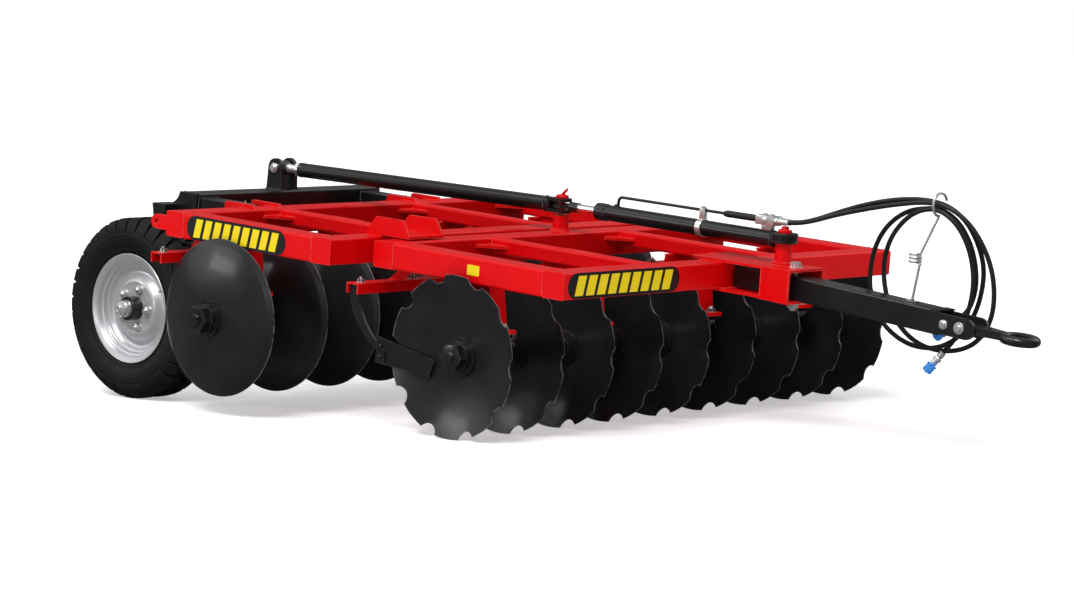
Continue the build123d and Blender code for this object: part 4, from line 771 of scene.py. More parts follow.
class Workshop:
    """Turns shapes into finished pieces that ride on the machine's bodies."""

    def __init__(self, stance: Stance, book: FinishBook) -> None:
        """Builds the groups that repeat forms.

        Args:
            stance: How the machine stands.
            book: The finishes.
        """
        self.stance = stance
        self.book = book
        self.bead_group = self._bead_group()
        self.template_group = self._template_group()

    def piece(self, name: str, shape: Shape, finish: Finish, body: Body, replaces: Sequence[str] = (),
              bevel: float = 0.0, smooth: float = 32.0) -> bpy.types.Object:
        """Makes one finished piece.

        Args:
            name: The piece's name.
            shape: Its form.
            finish: Its finish.
            body: The body it rides on.
            replaces: The CAD nodes it takes the place of.
            bevel: The width of its edge bevels.
            smooth: The largest angle between faces that shade as one, in degrees.

        Returns:
            The piece.
        """
        mesh = bpy.data.meshes.new(name)
        mesh.from_pydata([self.stance.place(point) for point in shape.verts], [], shape.faces)
        self._clean(mesh, bevel * MM, smooth)
        mesh.materials.append(self.book.material(finish))
        return self.seat(bpy.data.objects.new(name, mesh), finish, body, replaces)

    @staticmethod
    def seat(obj: bpy.types.Object, finish: Finish, body: Body, replaces: Sequence[str] = ()) -> bpy.types.Object:
        """Links a piece and puts it on its body.

        Args:
            obj: The piece.
            finish: Not used.
            body: The body it rides on.
            replaces: The CAD nodes it takes the place of.

        Returns:
            The piece.
        """
        link(obj)
        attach(obj, body.value)
        if replaces:
            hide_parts(*replaces)
        LOG.info("piece %s on %s", obj.name, body.value)
        return obj

    @staticmethod
    def _clean(mesh: bpy.types.Mesh, bevel: float, smooth: float = 32.0) -> None:
        """Merges a mesh's doubled points, bevels its sharp edges and points its faces outwards.

        Args:
            mesh: The mesh.
            bevel: The bevels' width in metres.
            smooth: The largest angle between faces that shade as one, in degrees.
        """
        limit = math.radians(smooth)
        form = bmesh.new()
        form.from_mesh(mesh)
        bmesh.ops.remove_doubles(form, verts=form.verts, dist=1e-6)
        bmesh.ops.dissolve_degenerate(form, dist=1e-7, edges=form.edges)
        bmesh.ops.recalc_face_normals(form, faces=form.faces)
        if bevel:
            sharp = [e for e in form.edges if len(e.link_faces) == 2 and e.calc_face_angle(0) > limit]
            bmesh.ops.bevel(form, geom=sharp, offset=bevel, segments=2, profile=0.6, affect="EDGES",
                            clamp_overlap=True)
            bmesh.ops.recalc_face_normals(form, faces=form.faces)
        form.to_mesh(mesh)
        form.free()
        mesh.shade_smooth()
        mesh.set_sharp_from_angle(angle=limit)

    @staticmethod
    def _bead_group() -> bpy.types.NodeTree:
        """Builds the group that lays overlapping ripples along every seam edge."""
        made = GeometryGroup("weld_beads", Pitch="Float", Size="Float", Material="Material")
        curve = made.add("GeometryNodeMeshToCurve", {"Mesh": made.inputs["Geometry"]})
        steps = made.add("GeometryNodeResampleCurve", {"Curve": curve.outputs[0], "Length": made.inputs["Pitch"]},
                         mode="LENGTH")
        ripple = made.add("GeometryNodeMeshUVSphere", {"Segments": 8, "Rings": 4, "Radius": made.inputs["Size"]})
        tangent = made.add("GeometryNodeInputTangent")
        size = made.add("FunctionNodeRandomValue", {"Min": (0.8, 0.8, 0.62), "Max": (1.12, 1.12, 0.8), "Seed": 7},
                        data_type="FLOAT_VECTOR")
        return made.close(steps.outputs[0], ripple.outputs[0], made.turned(tangent.outputs[0]), size.outputs[0])

    @staticmethod
    def _template_group() -> bpy.types.NodeTree:
        """Builds the group that puts a template at every point, turned and sized by the point's attributes."""
        made = GeometryGroup("templates_at_points", Template="Object", Material="Material")
        template = made.add("GeometryNodeObjectInfo", {"Object": made.inputs["Template"]})
        aim, side, size = (made.add("GeometryNodeInputNamedAttribute", {"Name": name}, data_type=kind).outputs[0]
                           for name, kind in (("aim", "FLOAT_VECTOR"), ("side", "FLOAT_VECTOR"), ("size", "FLOAT")))
        turn = made.add("FunctionNodeAlignRotationToVector", {"Rotation": made.turned(aim), "Vector": side},
                        axis="X", pivot_axis="Z")
        return made.close(made.inputs["Geometry"], template.outputs["Geometry"], turn.outputs[0], size)

    def _grow(self, name: str, base: bpy.types.Mesh, group: bpy.types.NodeTree, values: Dict[str, object],
              finish: Finish, body: Body) -> bpy.types.Object:
        """Runs a group on a base mesh and keeps the result as a plain mesh.

        Args:
            name: The piece's name.
            base: The mesh that the group repeats its form on.
            group: The group.
            values: The group's inputs by name, apart from its material.
            finish: The piece's finish.
            body: The body it rides on.

        Returns:
            The piece.
        """
        values = {**values, "Material": self.book.material(finish)}
        obj = link(bpy.data.objects.new(name, base))
        modifier = obj.modifiers.new("repeat", "NODES")
        modifier.node_group = group
        for item in group.interface.items_tree:
            if item.in_out == "INPUT" and item.name in values:
                modifier[item.identifier] = values[item.name]
        graph = bpy.context.evaluated_depsgraph_get()
        mesh = bpy.data.meshes.new_from_object(obj.evaluated_get(graph), depsgraph=graph)
        obj.modifiers.remove(modifier)
        bpy.context.scene.collection.objects.unlink(obj)
        obj.data = mesh
        mesh.name = name
        mesh.shade_smooth()
        mesh.set_sharp_from_angle(angle=math.radians(34))
        return self.seat(obj, finish, body)

    def beads(self, name: str, seams: Sequence[Seam], finish: Finish, body: Body, size: float = 4.2,
              pitch: float = 5.2) -> None:
        """Lays weld beads along seams, as one piece.

        Args:
            name: The piece's name.
            seams: Lines of points.
            finish: The beads' finish.
            body: The body they ride on.
            size: The bead's radius.
            pitch: The distance between ripples.
        """
        points, edges = [], []
        for seam in seams:
            edges += [(len(points) + n, len(points) + n + 1) for n in range(len(seam) - 1)]
            points += [self.stance.place(point) for point in seam]
        base = bpy.data.meshes.new(name)
        base.from_pydata(points, edges, [])
        self._grow(name, base, self.bead_group, {"Pitch": pitch * MM, "Size": size * MM}, finish, body)

    def templates(self, name: str, template: Shape, spots: Sequence[Spot], finish: Finish, body: Body,
                  bevel: float = 0.0) -> None:
        """Puts a template at every spot, as one piece.

        Args:
            name: The piece's name.
            template: The repeated form, standing on its own origin along +Z.
            spots: Where it stands.
            finish: Its finish.
            body: The body they ride on.
            bevel: The width of the template's edge bevels.
        """
        model = bpy.data.meshes.new(name + "_template")
        model.from_pydata([point * MM for point in template.verts], [], template.faces)
        self._clean(model, bevel * MM)
        mould = link(bpy.data.objects.new(name + "_template", model))
        base = bpy.data.meshes.new(name)
        base.from_pydata([self.stance.place(spot.place) for spot in spots], [], [])
        turn = self.stance.turn()
        for key in ("aim", "side"):
            for item, spot in zip(base.attributes.new(key, "FLOAT_VECTOR", "POINT").data, spots):
                item.vector = turn @ Vector(getattr(spot, key))
        for item, spot in zip(base.attributes.new("size", "FLOAT", "POINT").data, spots):
            item.value = spot.size
        self._grow(name, base, self.template_group, {"Template": mould}, finish, body)
        bpy.data.objects.remove(mould)


@dataclass(frozen=True)
class Assembly:
    """A sub-assembly, whose pieces the workshop makes."""

    shop: Workshop


@dataclass(frozen=True)
class Hose:
    """One free hydraulic hose.

    Attributes:
        name: The piece's name.
        node: The CAD node it takes the place of, whose name its coupling and cap share.
        exit: Where it leaves the oil block.
        length: Its real length in metres.
        route: Its centreline's control points, from its exit.
    """

    name: str
    node: str
    exit: Point
    length: float
    route: Seam

    def points(self) -> List[Vector]:
        """Returns the control points in machine millimetres."""
        return [Vector(self.exit) + Vector(offset) for offset in self.route]


NEAR_HOSE = Hose("near_hose", "hose_near", (663, -104, 548), 2.94, (
    (0, 0, 0), (65, 0, 0), (149, 1, 17), (257, 2, 55), (387, 5, 93), (527, 9, 128), (645, 12, 150),
    (737, 16, 149), (815, 38, 105), (872, 62, 32), (911, 84, -60), (928, 92, -156), (922, 94, -248), (877, 93, -332),
    (792, 92, -381), (683, 90, -394), (577, 92, -367), (495, 94, -300), (445, 94, -206), (434, 84, -102),
    (473, 62, -3), (550, 34, 76), (629, 16, 120), (705, 15, 132), (773, 30, 94), (813, 58, 22), (831, 80, -58),
    (835, 91, -140), (823, 94, -218), (803, 93, -286), (779, 74, -346), (755, 52, -388)))
FAR_HOSE = Hose("far_hose", "hose_far", (663, -80, 548), 2.90, (
    (0, 0, 0), (65, 0, 0), (149, 1, 22), (252, 2, 64), (372, 4, 108), (505, 6, 143), (633, 11, 158),
    (737, 16, 146), (799, 48, 92), (833, 80, 14), (848, 106, -68), (840, 118, -156), (815, 120, -252),
    (755, 120, -340), (663, 120, -394), (559, 120, -402), (465, 118, -372), (391, 114, -312), (351, 108, -228),
    (349, 100, -130), (381, 82, -34), (447, 58, 46), (541, 34, 104), (627, 18, 124), (705, 13, 132), (773, 28, 94),
    (811, 58, 20), (827, 80, -58), (831, 92, -138), (811, 96, -218), (777, 94, -258), (745, 92, -286)))


@dataclass(frozen=True)
class HosePair(Assembly):
    """Both hydraulic hoses from the oil block, over the holder's hook, to their capped couplings.

    Attributes:
        radius: Their radius.
        hoses: The two hoses.
        sleeve: The length of a coupling, from the hose's end to its cap.
    """

    radius: float = 9.0
    hoses: Tuple[Hose, ...] = (NEAR_HOSE, FAR_HOSE)
    sleeve: float = 58.0

    def build(self) -> None:
        for hose in self.hoses:
            points = hose.points()
            curve = bpy.data.curves.new(hose.name, "CURVE")
            curve.dimensions = "3D"
            spline = curve.splines.new("NURBS")
            spline.points.add(len(points) - 1)
            for control, point in zip(spline.points, points):
                control.co = (*self.shop.stance.place(point), 1.0)
            spline.order_u = 3
            spline.use_endpoint_u = True
            spline.resolution_u = 10
            curve.bevel_depth = self.radius * MM
            curve.bevel_resolution = 6
            curve.use_fill_caps = True
            curve.materials.append(self.shop.book.material(HOSE_RUBBER))
            piece = bpy.data.objects.new(hose.name, curve)
            self.shop.seat(piece, HOSE_RUBBER, Body.FRONT_FRAME, (hose.node,))
            pieces = [self._ferrule(hose), self._coupling(hose), self._cap(hose)]
            tuple(self.shop.stance.place(points[0]))
            LOG.info("%s of %.2f m in %d points", hose.name, hose.length, len(points))

    def _ferrule(self, hose: Hose) -> bpy.types.Object:
        """Makes the crimped ferrule that tapers on to the hose where it leaves the block.

        Args:
            hose: The hose.

        Returns:
            The ferrule.
        """
        crimps = ridges(5, 7, 7, ((11.4, 0), (12.3, 1.5), (12.3, 4.5), (11.4, 6)))
        shape = Shape().lathe([(9.2, 1), (12.4, 1), (12.4, 6), *crimps, (10.4, 44), (9.2, 52)], hose.exit, X, 40)
        return self.shop.piece(hose.name + "_ferrule", shape, ZINC_STEEL, Body.FRONT_FRAME)

    def _coupling(self, hose: Hose) -> bpy.types.Object:
        """Makes the quick coupling: crimp shell, hexagon, knurled sleeve and locking ring.

        Args:
            hose: The hose.

        Returns:
            The coupling.
        """
        before, end = hose.points()[-2:]
        run = end - before
        crimps = ridges(4, 0.5, 5.5, ((11.6, 0), (12.9, 1), (12.9, 3.8), (11.6, 4.8)))
        shape = Shape().lathe([(0, 0), *crimps, (10, 23), (10, 26), (13, 26), (13, 27), (0, 27)], end, run, 40)
        shape.skin([Shape.ring(end + run.normalized() * level, run, 16.6, 6, False) for level in (26.0, 38.0)],
                   capped=True)
        shape.lathe(((0, 37.5), (12.6, 37.5), (12.6, 41), (11.6, 42), (11.6, 44), (12.8, 45), (12.8, 54),
                     (11.4, 55.5), (11.4, self.sleeve), (0, self.sleeve)), end, run, 40)
        return self.shop.piece(hose.name + "_coupling", shape, ZINC_STEEL, Body.FRONT_FRAME,
                               (hose.node + "_coupling",), bevel=0.5)

    def _cap(self, hose: Hose) -> bpy.types.Object:
        """Makes the dust cap: a ribbed cup with a rolled rim, a loop and a pull strap.

        Args:
            hose: The hose.

        Returns:
            The cap.
        """
        before, end = hose.points()[-2:]
        side, up, along = Shape.basis(end - before)
        start = end + along * self.sleeve
        shape = Shape().lathe((
            (0, 1.5), (12.9, 0.5), (18.5, 0.5), (20.4, 1.6), (20.6, 4.5), (19.2, 6.5), (17.6, 7.5), (17.2, 22),
            (18.6, 24), (18.6, 31), (16.8, 34.5), (13, 36.4), (0, 36.8)), start, along, 48)
        for rib in zip(*(Shape.ring(start + along * level, along, 16.4, 16, False) for level in (7.0, 20.0, 32.0))):
            shape.tube(rib, 1.9)
        shape.tube([start + along * (34 + 3.5 * s) + side * (13 * c) + up * 2.0 for c, s in spokes(24)[:13]], 2.4)
        shape.tube([start + side * reach + along * level for reach, level in
                    ((18, 28), (27, 22), (30, 8), (27, -8), (20, -16))], 3.2, 10)
        return self.shop.piece(hose.name + "_cap", shape, BLUE_PLASTIC, Body.FRONT_FRAME, (hose.node + "_cap",))


@dataclass(frozen=True)
class FrameSize:
    """One welded frame's own sizes.

    Attributes:
        body: The body it is.
        name: The name its pieces start with.
        right: Its right face.
        left: Its left face.
        back: Its back face.
        front: Its front face.
        inner: The right faces of its inner beams.
        hangers: The middles of its gang hangers.
        gang: The gang axis's place along the machine.
        rims: The discs' rim planes.
        way: Which way the discs' backs point.
        bar: The scraper bar's middle.
        blade: The scraper blades' bolts behind the gang's axis.
        hanger_tops: Where each hanger meets its beam.
        top: The beams' top.
        deep: The right beam's underside.
        slim: The other lengthways beams' underside.
        beam: The beams' width.
        gusset: The gussets' length.
        brackets: The scraper bar's brackets, as shares of the frame's width.
    """

    body: Body
    name: str
    right: float
    left: float
    back: float
    front: float
    inner: Tuple[float, ...]
    hangers: Tuple[float, ...]
    gang: float
    rims: Tuple[float, ...]
    way: int
    bar: float
    blade: float
    hanger_tops: Tuple[float, ...] = (275, 363, 315, 315)
    top: float = 375.0
    deep: float = 275.0
    slim: float = 315.0
    beam: float = 100.0
    gusset: float = 90.0
    brackets: Tuple[float, ...] = (0.08, 0.5, 0.92)


FRONT = FrameSize(Body.FRONT_FRAME, "front", -1103, 882, -463, 490, (-560, 200), (-1010, -460, 200, 790), 0,
                  tuple(-1140 + 285 * n for n in range(9)), 1, -490, -335)
REAR = FrameSize(Body.REAR_FRAME, "rear", -1267, 718, -1443, -530, (-750, 20), (-1200, -650, 30, 600), -1092,
                 tuple(-1282.5 + 285 * n for n in range(9)), -1, -1430, -284)


@dataclass(frozen=True)
class FrameTrim(Assembly):
    """The weld beads, nuts, blade bolts and grease nipples of one frame, and the nuts of its gang's axle.

    Attributes:
        size: The frame's sizes.
        gang: The gang's body.
        flat: How far the spacers' ends stand off the outer discs' rim planes.
        plate: The end washers' thickness.
        nut: How far the gang's nuts stand off those washers.
    """

    size: FrameSize
    gang: Body
    flat: float = 56.62
    plate: float = 6.0
    nut: float = 28.0

    def build(self) -> None:
        """Adds all of the frame's and the gang's small parts."""
        size, shop = self.size, self.shop
        shop.beads(size.name + "_frame_welds", self._beam_seams() + self._gusset_seams(), RED_PAINT, size.body)
        shop.beads(size.name + "_hanger_welds", self._hanger_seams(), RED_PAINT, size.body)
        scraper_nuts = [Spot((size.bar, rim + size.way * 4, 212)) for rim in size.rims]
        bearing_nuts = [Spot((size.gang + way, y, z), aim) for y in size.hangers for way in (-135, 135)
                        for z, aim in ((114, Z), (86, DOWN))]
        blade_bolts = [Spot((size.gang + size.blade, rim - size.way * 28, z), (0.0, float(-size.way), 0.0))
                       for rim in size.rims for z in (-6, -46)]
        nipples = [Spot((size.gang + 61.0, y, 8.0), (1.0, 0.0, 0.2)) for y in size.hangers]
        near, far = self.flat, self.flat + self.plate
        low, high = (near, far) if size.way > 0 else (-far, -near)
        gang_nuts = [Spot((size.gang, min(size.rims) + low - self.nut, 0), (0.0, -1.0, 0.0), Z),
                     Spot((size.gang, max(size.rims) + high + self.nut, 0), Y, Z)]
        for name, form, spots, finish, body in (
                ("_scraper_nuts", hex_nut(26.6, 13.4, 19, 8.2, 7), scraper_nuts, ZINC_STEEL, size.body),
                ("_bearing_nuts", hex_nut(30.6, 14.5, 20, 10.2, 8), bearing_nuts, ZINC_STEEL, size.body),
                ("_blade_bolts", bolt_head(8.5), blade_bolts, BLACK_PAINT, size.body),
                ("_bearing_nipples", grease_nipple(), nipples, ZINC_STEEL, size.body),
                ("_gang_nuts", hex_nut(93.4, 36.2, 57.0, 20.4, 14), gang_nuts, BLACK_PAINT, self.gang)):
            shop.templates(size.name + name, form, spots, finish, body)

    def _beam_seams(self) -> List[Seam]:
        """Returns the seams where the lengthways beams butt against the cross beams."""
        size = self.size
        spans = [(size.right, size.right + size.beam, size.deep), (size.left - size.beam, size.left, size.slim)]
        spans += [(y, y + 60, size.slim) for y in size.inner]
        seams: List[Seam] = []
        for x, inset in ((size.back + size.beam, 1.5), (size.front - size.beam, -1.5)):
            for y0, y1, low in spans:
                seams += [[(x + inset, y, size.top - 8), (x + inset, y, low + 8)] for y in (y0, y1)]
                seams.append([(x, y0 + 8, size.top - 1.5), (x, y1 - 8, size.top - 1.5)])
                seams.append([(x + inset, y0 + 8, low), (x + inset, y1 - 8, low)])
        return seams

    def _gusset_seams(self) -> List[Seam]:
        """Returns the seams along the corner gussets' upper and lower edges."""
        size = self.size
        x, reach = size.back + size.beam, size.gusset - 6
        return [[(x + reach, y, z), (x + 2, y, z), (x + 2, y - 2, z), (x + 1, y - reach, z)]
                for y in (*size.inner, size.left - size.beam) for z in (341, 349)]

    def _hanger_seams(self) -> List[Seam]:
        """Returns the seams where hangers meet the beams above and their own feet, and the scraper brackets'."""
        size, x = self.size, self.size.gang
        seams: List[Seam] = []
        for y, top in zip(size.hangers, size.hanger_tops):
            low, high = y - 40, y + 40
            if top < size.top - 25:
                seams.append([(x + a, b, top - 0.5) for a, b in ((-85, low), (-85, high), (85, high), (85, low))])
            seams.append([(x - 105, high - 11, 115), (x + 105, high - 11, 115)])
            seams += [[(x + end, low, 115), (x + end, high, 115)] for end in (-115, 115)]
        for share in size.brackets:
            y = size.right + share * (size.left - size.right)
            for edge in (y - 6.5, y + 6.5):
                seams.append([(size.bar - 28, edge, 213), (size.bar + 28, edge, 213)])
                seams.append([(size.back + 16, edge, 274), (size.back + 79, edge, 274)])
        return seams


@dataclass(frozen=True)
class Panels(Assembly):
    """The plain black and yellow panels where the machine's sides are dressed.

    Attributes:
        height: The panels' height.
        count: How many yellow blocks a panel has.
        gap: The space between blocks.
        lean: How far a block's top leans.
        margin: The black edge above and below the blocks.
        ends: The black at both ends of a row of blocks.
    """

    height: float = 95.0
    count: int = 9
    gap: float = 16.0
    lean: float = 17.0
    margin: float = 11.0
    ends: float = 76.0

    def build(self) -> None:
        """Adds the two long panels and the small yellow patch."""
        self._panel("front_panel", Body.FRONT_FRAME, (490.0, -1079.0, 278.0), Y, 626.0)
        self._panel("rear_panel", Body.REAR_FRAME, (-1322.0, -1267.0, 277.0), X, 552.0)
        patch = Shape().prism(rounded_outline(60, 38, 4, 6), (18, -1102.8, 308), X, Z, 0.9)
        self.shop.piece("yellow_patch", patch, PANEL_YELLOW, Body.FRONT_FRAME)

    def _panel(self, name: str, body: Body, corner: Point, across: Point, length: float) -> None:
        """Adds one rounded black panel with slanted yellow blocks.

        Args:
            name: The panel's name.
            body: The body it rides on.
            corner: Its lower corner.
            across: The direction it runs in.
            length: Its length.
        """
        start = Vector(corner)
        out = Vector(across).cross(Vector(Z))
        back = rounded_outline(length, self.height, self.height / 2 - 2, 10)
        self.shop.piece(name, Shape().prism(back, start - out * 0.3, across, Z, 1.0), PANEL_BLACK, body)
        pitch = (length - self.ends - self.lean + self.gap) / self.count
        first = (length - self.count * pitch + self.gap - self.lean) / 2
        low, high, width = self.margin, self.height - self.margin, pitch - self.gap
        blocks = Shape()
        for left in (first + number * pitch for number in range(self.count)):
            outline = ((left, low), (left + width, low), (left + width + self.lean, high), (left + self.lean, high))
            blocks.prism(outline, start + out * 0.5, across, Z, 0.7)
        self.shop.piece(name + "_blocks", blocks, PANEL_YELLOW, body)


@dataclass(frozen=True)
class Wheel(Assembly):
    """A tyre with its tread, a pressed rim, and the hub's small parts.

    Attributes:
        side: The wheel's name.
        body: The body it is.
        middle: The tyre's middle plane.
        way: Which way its outer face points.
        x: The axle's place along the machine.
        z: The axle's height.
        lugs: How many lugs go round.
        crown: The tread's radius.
        floor: The radius between the lugs.
    """

    side: str
    body: Body
    middle: float
    way: int
    x: float = -1775.0
    z: float = -68.0
    lugs: int = 34
    crown: float = 365.0
    floor: float = 350.5

    def build(self) -> None:
        """Adds all of the wheel's pieces."""
        self._tyre()
        self._tread()
        self._rim()
        self._hub()

    def _centre(self, across: float = 0.0) -> Vector:
        """Returns the wheel's centre, moved outwards along its axis."""
        return Vector((self.x, self.middle + self.way * across, self.z))

    def _axis(self) -> Vector:
        """Returns the wheel's outward axis."""
        return Vector((0, self.way, 0))

    @staticmethod
    def _rays(turns: Pairs) -> List[Tuple[Vector, Vector]]:
        """Returns the directions away from the axle, and round it, for cosines and sines."""
        return [(Vector((c, 0, s)), Vector((-s, 0, c))) for c, s in turns]

    def _tyre(self) -> None:
        """Adds the moulded carcass with its beads, sidewall rings and shoulders."""
        half = [(203, 73), (212, 75.5), (221, 77), (229, 81), (233, 87), (238, 88.5), (242, 88), (246, 91),
                (258, 99.5), (270, 104.6), (282, 106.6), (294, 106.6), (296, 107), (299, 107), (301, 105.8),
                (311, 104), (313, 104.8), (316, 103.6), (318, 100.6), (327, 93), (337, 81), (345, 68),
                (self.floor, 56), (self.floor, 30)]
        shape = Shape().lathe(half + [(radius, -place) for radius, place in reversed(half)], self._centre(),
                              self._axis(), 128)
        self.shop.piece(self.side + "_tyre_carcass", shape, TYRE_RUBBER, self.body, (self.side + "_tyre",), smooth=50)

    def _tread(self) -> None:
        """Adds the tread's shoulder lugs on both sides and the middle blocks."""
        width = self.crown * 2 * math.pi / self.lugs - 15.6
        lug, slant, rings = Shape(), math.tan(math.radians(20)), []
        for across, top in ((24.6, self.crown), (50, self.crown), (66, self.crown - 0.6), (84, 351), (97, 336),
                            (104.5, 322)):
            foot = top - self.floor - (14.0 if across < 80 else 16.0)
            half = width * (0.82 if across < 30 else 1.0)
            ring = [Vector((edge * half * 0.53 + across * slant, -across, foot)) for edge in (-1, 0, 1)]
            for reach in (edge * half * 0.48 + across * slant for edge in (1, 0, -1)):
                ring.append(Vector((reach, -across, math.sqrt(top**2 - reach**2) - self.floor)))
            rings.append(ring)
        lug.skin(rings, capped=True)
        outline = ((-22, -13.5), (16, -13.5), (22, 13.5), (-16, 13.5))
        block = Shape().prism(outline, (0, 0, -3), X, Y, self.crown - self.floor + 2)
        for label, form, flip, share in (("outer", lug, 1, 0), ("inner", lug, -1, 0.5), ("middle", block, 1, 0.25)):
            turns = [2 * math.pi * (number + share) / self.lugs for number in range(self.lugs)]
            spots = [Spot(self._centre() + out * self.floor, out, run * self.way * flip)
                     for out, run in self._rays([(math.cos(turn), math.sin(turn)) for turn in turns])]
            self.shop.templates(f"{self.side}_tread_{label}", form, spots, TYRE_RUBBER, self.body, bevel=1.6)

    def _rim(self) -> None:
        """Adds the pressed rim with its rolled flanges, steps and dished disc, its weld and its valve."""
        edge = ((203, 68), (206, 73), (214, 77), (219, 79), (221.5, 84), (219, 86))
        profile = ((197, -73), (213, -81), *((radius, -place) for radius, place in reversed(edge)), *edge,
                   (213, 83), (204, 76), (198.5, 72), (196, 66), (193.5, 60), (190, 57.5), (186, 56.5), (184, 54),
                   (182.5, 44), (180, 41), (174, 40), (171, 38), (167, 29), (158, 23.5), (147, 22), (139, 26),
                   (128, 38), (118, 48), (110, 52.4), (104, 52.6), (98, 50.6), (92, 50), (47, 50), (46.4, 48),
                   (46.4, 42), (98, 42), (108, 44.5), (116, 41), (127, 30), (138, 18), (150, 14), (162, 16),
                   (172, 24), (178, 34), (188, 38), (197, 40))
        shape = Shape().lathe(profile, self._centre(), self._axis(), 128)
        stem = self._centre(24) + Vector((150, 0, 88))
        for radius, start, end in ((5.0, 0, 14), (3.4, 14, 30), (4.2, 30, 40)):
            shape.rod(stem + self._axis() * start, stem + self._axis() * end, radius)
        self.shop.piece(self.side + "_rim_pressing", shape, WHEEL_SILVER, self.body, (self.side + "_rim",), smooth=40)
        weld = [self._centre(38) + out * 191 for out, _ in self._rays(spokes(96, True))]
        self.shop.beads(self.side + "_rim_weld", [weld], WHEEL_SILVER, self.body, 4.0, 6.5)

    def _hub(self) -> None:
        """Adds the stud nuts, the hub's black nose with its seal and the bright collar and castle nut."""
        axis, centre = self._axis(), self._centre()
        studs = [Spot(self._centre(50) + out * 80, axis) for out, _ in self._rays(spokes(5))]
        self.shop.templates(self.side + "_stud_nuts", hex_nut(28.6, 15.4, 19, 9.2, 11), studs, ZINC_STEEL, self.body)
        nose = Shape().lathe(((44, 44), (48.5, 44), (48.5, 62), (47, 64), (47, 84), (48, 86), (48, 92), (46.6, 94.6),
                              (34, 95.4), (34, 90), (44, 90)), centre, axis, 72)
        self.shop.piece(self.side + "_hub_nose", nose, BLACK_PAINT, self.body)
        cap = Shape().lathe(((0, 94), (33.4, 94), (34, 96), (34, 101), (32.6, 102.6), (33.4, 104), (33.4, 116),
                             (31.5, 119.4), (0, 119.4)), centre, axis)
        cap.lathe(((0, 119), (24.6, 119), (24.6, 132), (19, 134), (19, 142), (17, 144.5), (9, 144.5), (8, 142),
                   (0, 142)), centre, axis, 48)
        for out, run in self._rays(spokes(6)):
            outwards = 1 if out.cross(run).dot(axis) > 0 else -1
            low = self._centre(119.5) + out * 17 - run * 9
            cap.prism(((0, 0), (8.5, 0), (8.5, 18), (0, 18)), low, out, run, 13.5 * outwards)
        self.shop.piece(self.side + "_hub_cap", cap, ZINC_STEEL, self.body, (self.side + "_hub_fittings",), bevel=0.8)


@dataclass(frozen=True)
class OilLine(Assembly):
    """The steel pipe on the cylinder, its rubber sleeve, the band clamp and the bright manifold block.

    Attributes:
        pipe: The pipe's height.
        bend: The radius of its bend.
        band: The band clamp's start along the machine.
        block: The manifold block's back and front.
    """

    pipe: float = 546.0
    bend: float = 22.0
    band: float = 280.0
    block: Tuple[float, float] = (566.0, 651.0)

    def build(self) -> None:
        """Adds the whole line in place of its plain solid."""
        shop, body, y, pipe = self.shop, Body.FRONT_FRAME, MIDDLE, self.pipe
        turns = (math.radians(angle) for angle in (-58, -48, -38, -28, -18, -9, 0))
        bend = [(-112.6 + self.bend * math.sin(t), y, pipe - self.bend + self.bend * math.cos(t)) for t in turns]
        line = Shape().tube([(-140, y, 503), (-134, y, 512.4), *bend, (120, y, pipe), (400, y, pipe)], 6, 20)
        line.lathe(((0, -4), (13.8, -4), (13.8, 1), (12.6, 2.4), (9.2, 3.4), (8.4, 8), (0, 8)), (-140, y, 509), Z, 32)
        shop.piece("oil_pipe", line, BLACK_PAINT, body, ("oil_line",))
        ribs = ridges(8, 14, 16, ((12.4, 0), (13.4, 2), (13.4, 12), (12.4, 14)))
        sleeve = Shape().lathe([(0, 0), (9.6, 0), (11.6, 2), (11.6, 10), (13.4, 12), *ribs, (13.4, 150), (11.8, 152),
                                (11.8, 166), (0, 168)], (398, y, pipe), X, 32)
        shop.piece("pipe_sleeve", sleeve, HOSE_RUBBER, body)
        band = Shape().lathe(((31.2, 0), (34.4, 0), (35, 1), (35, 25), (34.4, 26), (31.2, 26)),
                             (self.band, y, CYLINDER), X)
        band.box((self.band + 1, y - 9.4, CYLINDER + 32), (self.band + 25, y + 9.4, pipe + 8.2))
        shop.piece("band_clamp", band, ZINC_STEEL, body, bevel=1.2)
        back, front = self.block
        block = Shape().box((back, y - 28, 528), (front, y + 28, 564)).box((586, y - 13, 508.4), (631, y + 13, 528.5))
        shop.piece("manifold_block", block, ZINC_STEEL, body, bevel=2.0)
        nuts = [Spot((front, hose.exit[1], hose.exit[2]), X, Z) for hose in (NEAR_HOSE, FAR_HOSE)]
        shop.templates("hose_nuts", hex_nut(25.0, 11.6, 12.6, 8, 0.4), nuts, ZINC_STEEL, body)
        plugs = [Spot((593, y, 564)), Spot((625, y, 564)), Spot((608, y - 28, 546), (0.0, -1.0, 0.0)),
                 Spot((293, y, pipe + 8.2))]
        shop.templates("manifold_plugs", hex_nut(17, 5.5, 11, 5, 1.4), plugs, ZINC_STEEL, body)


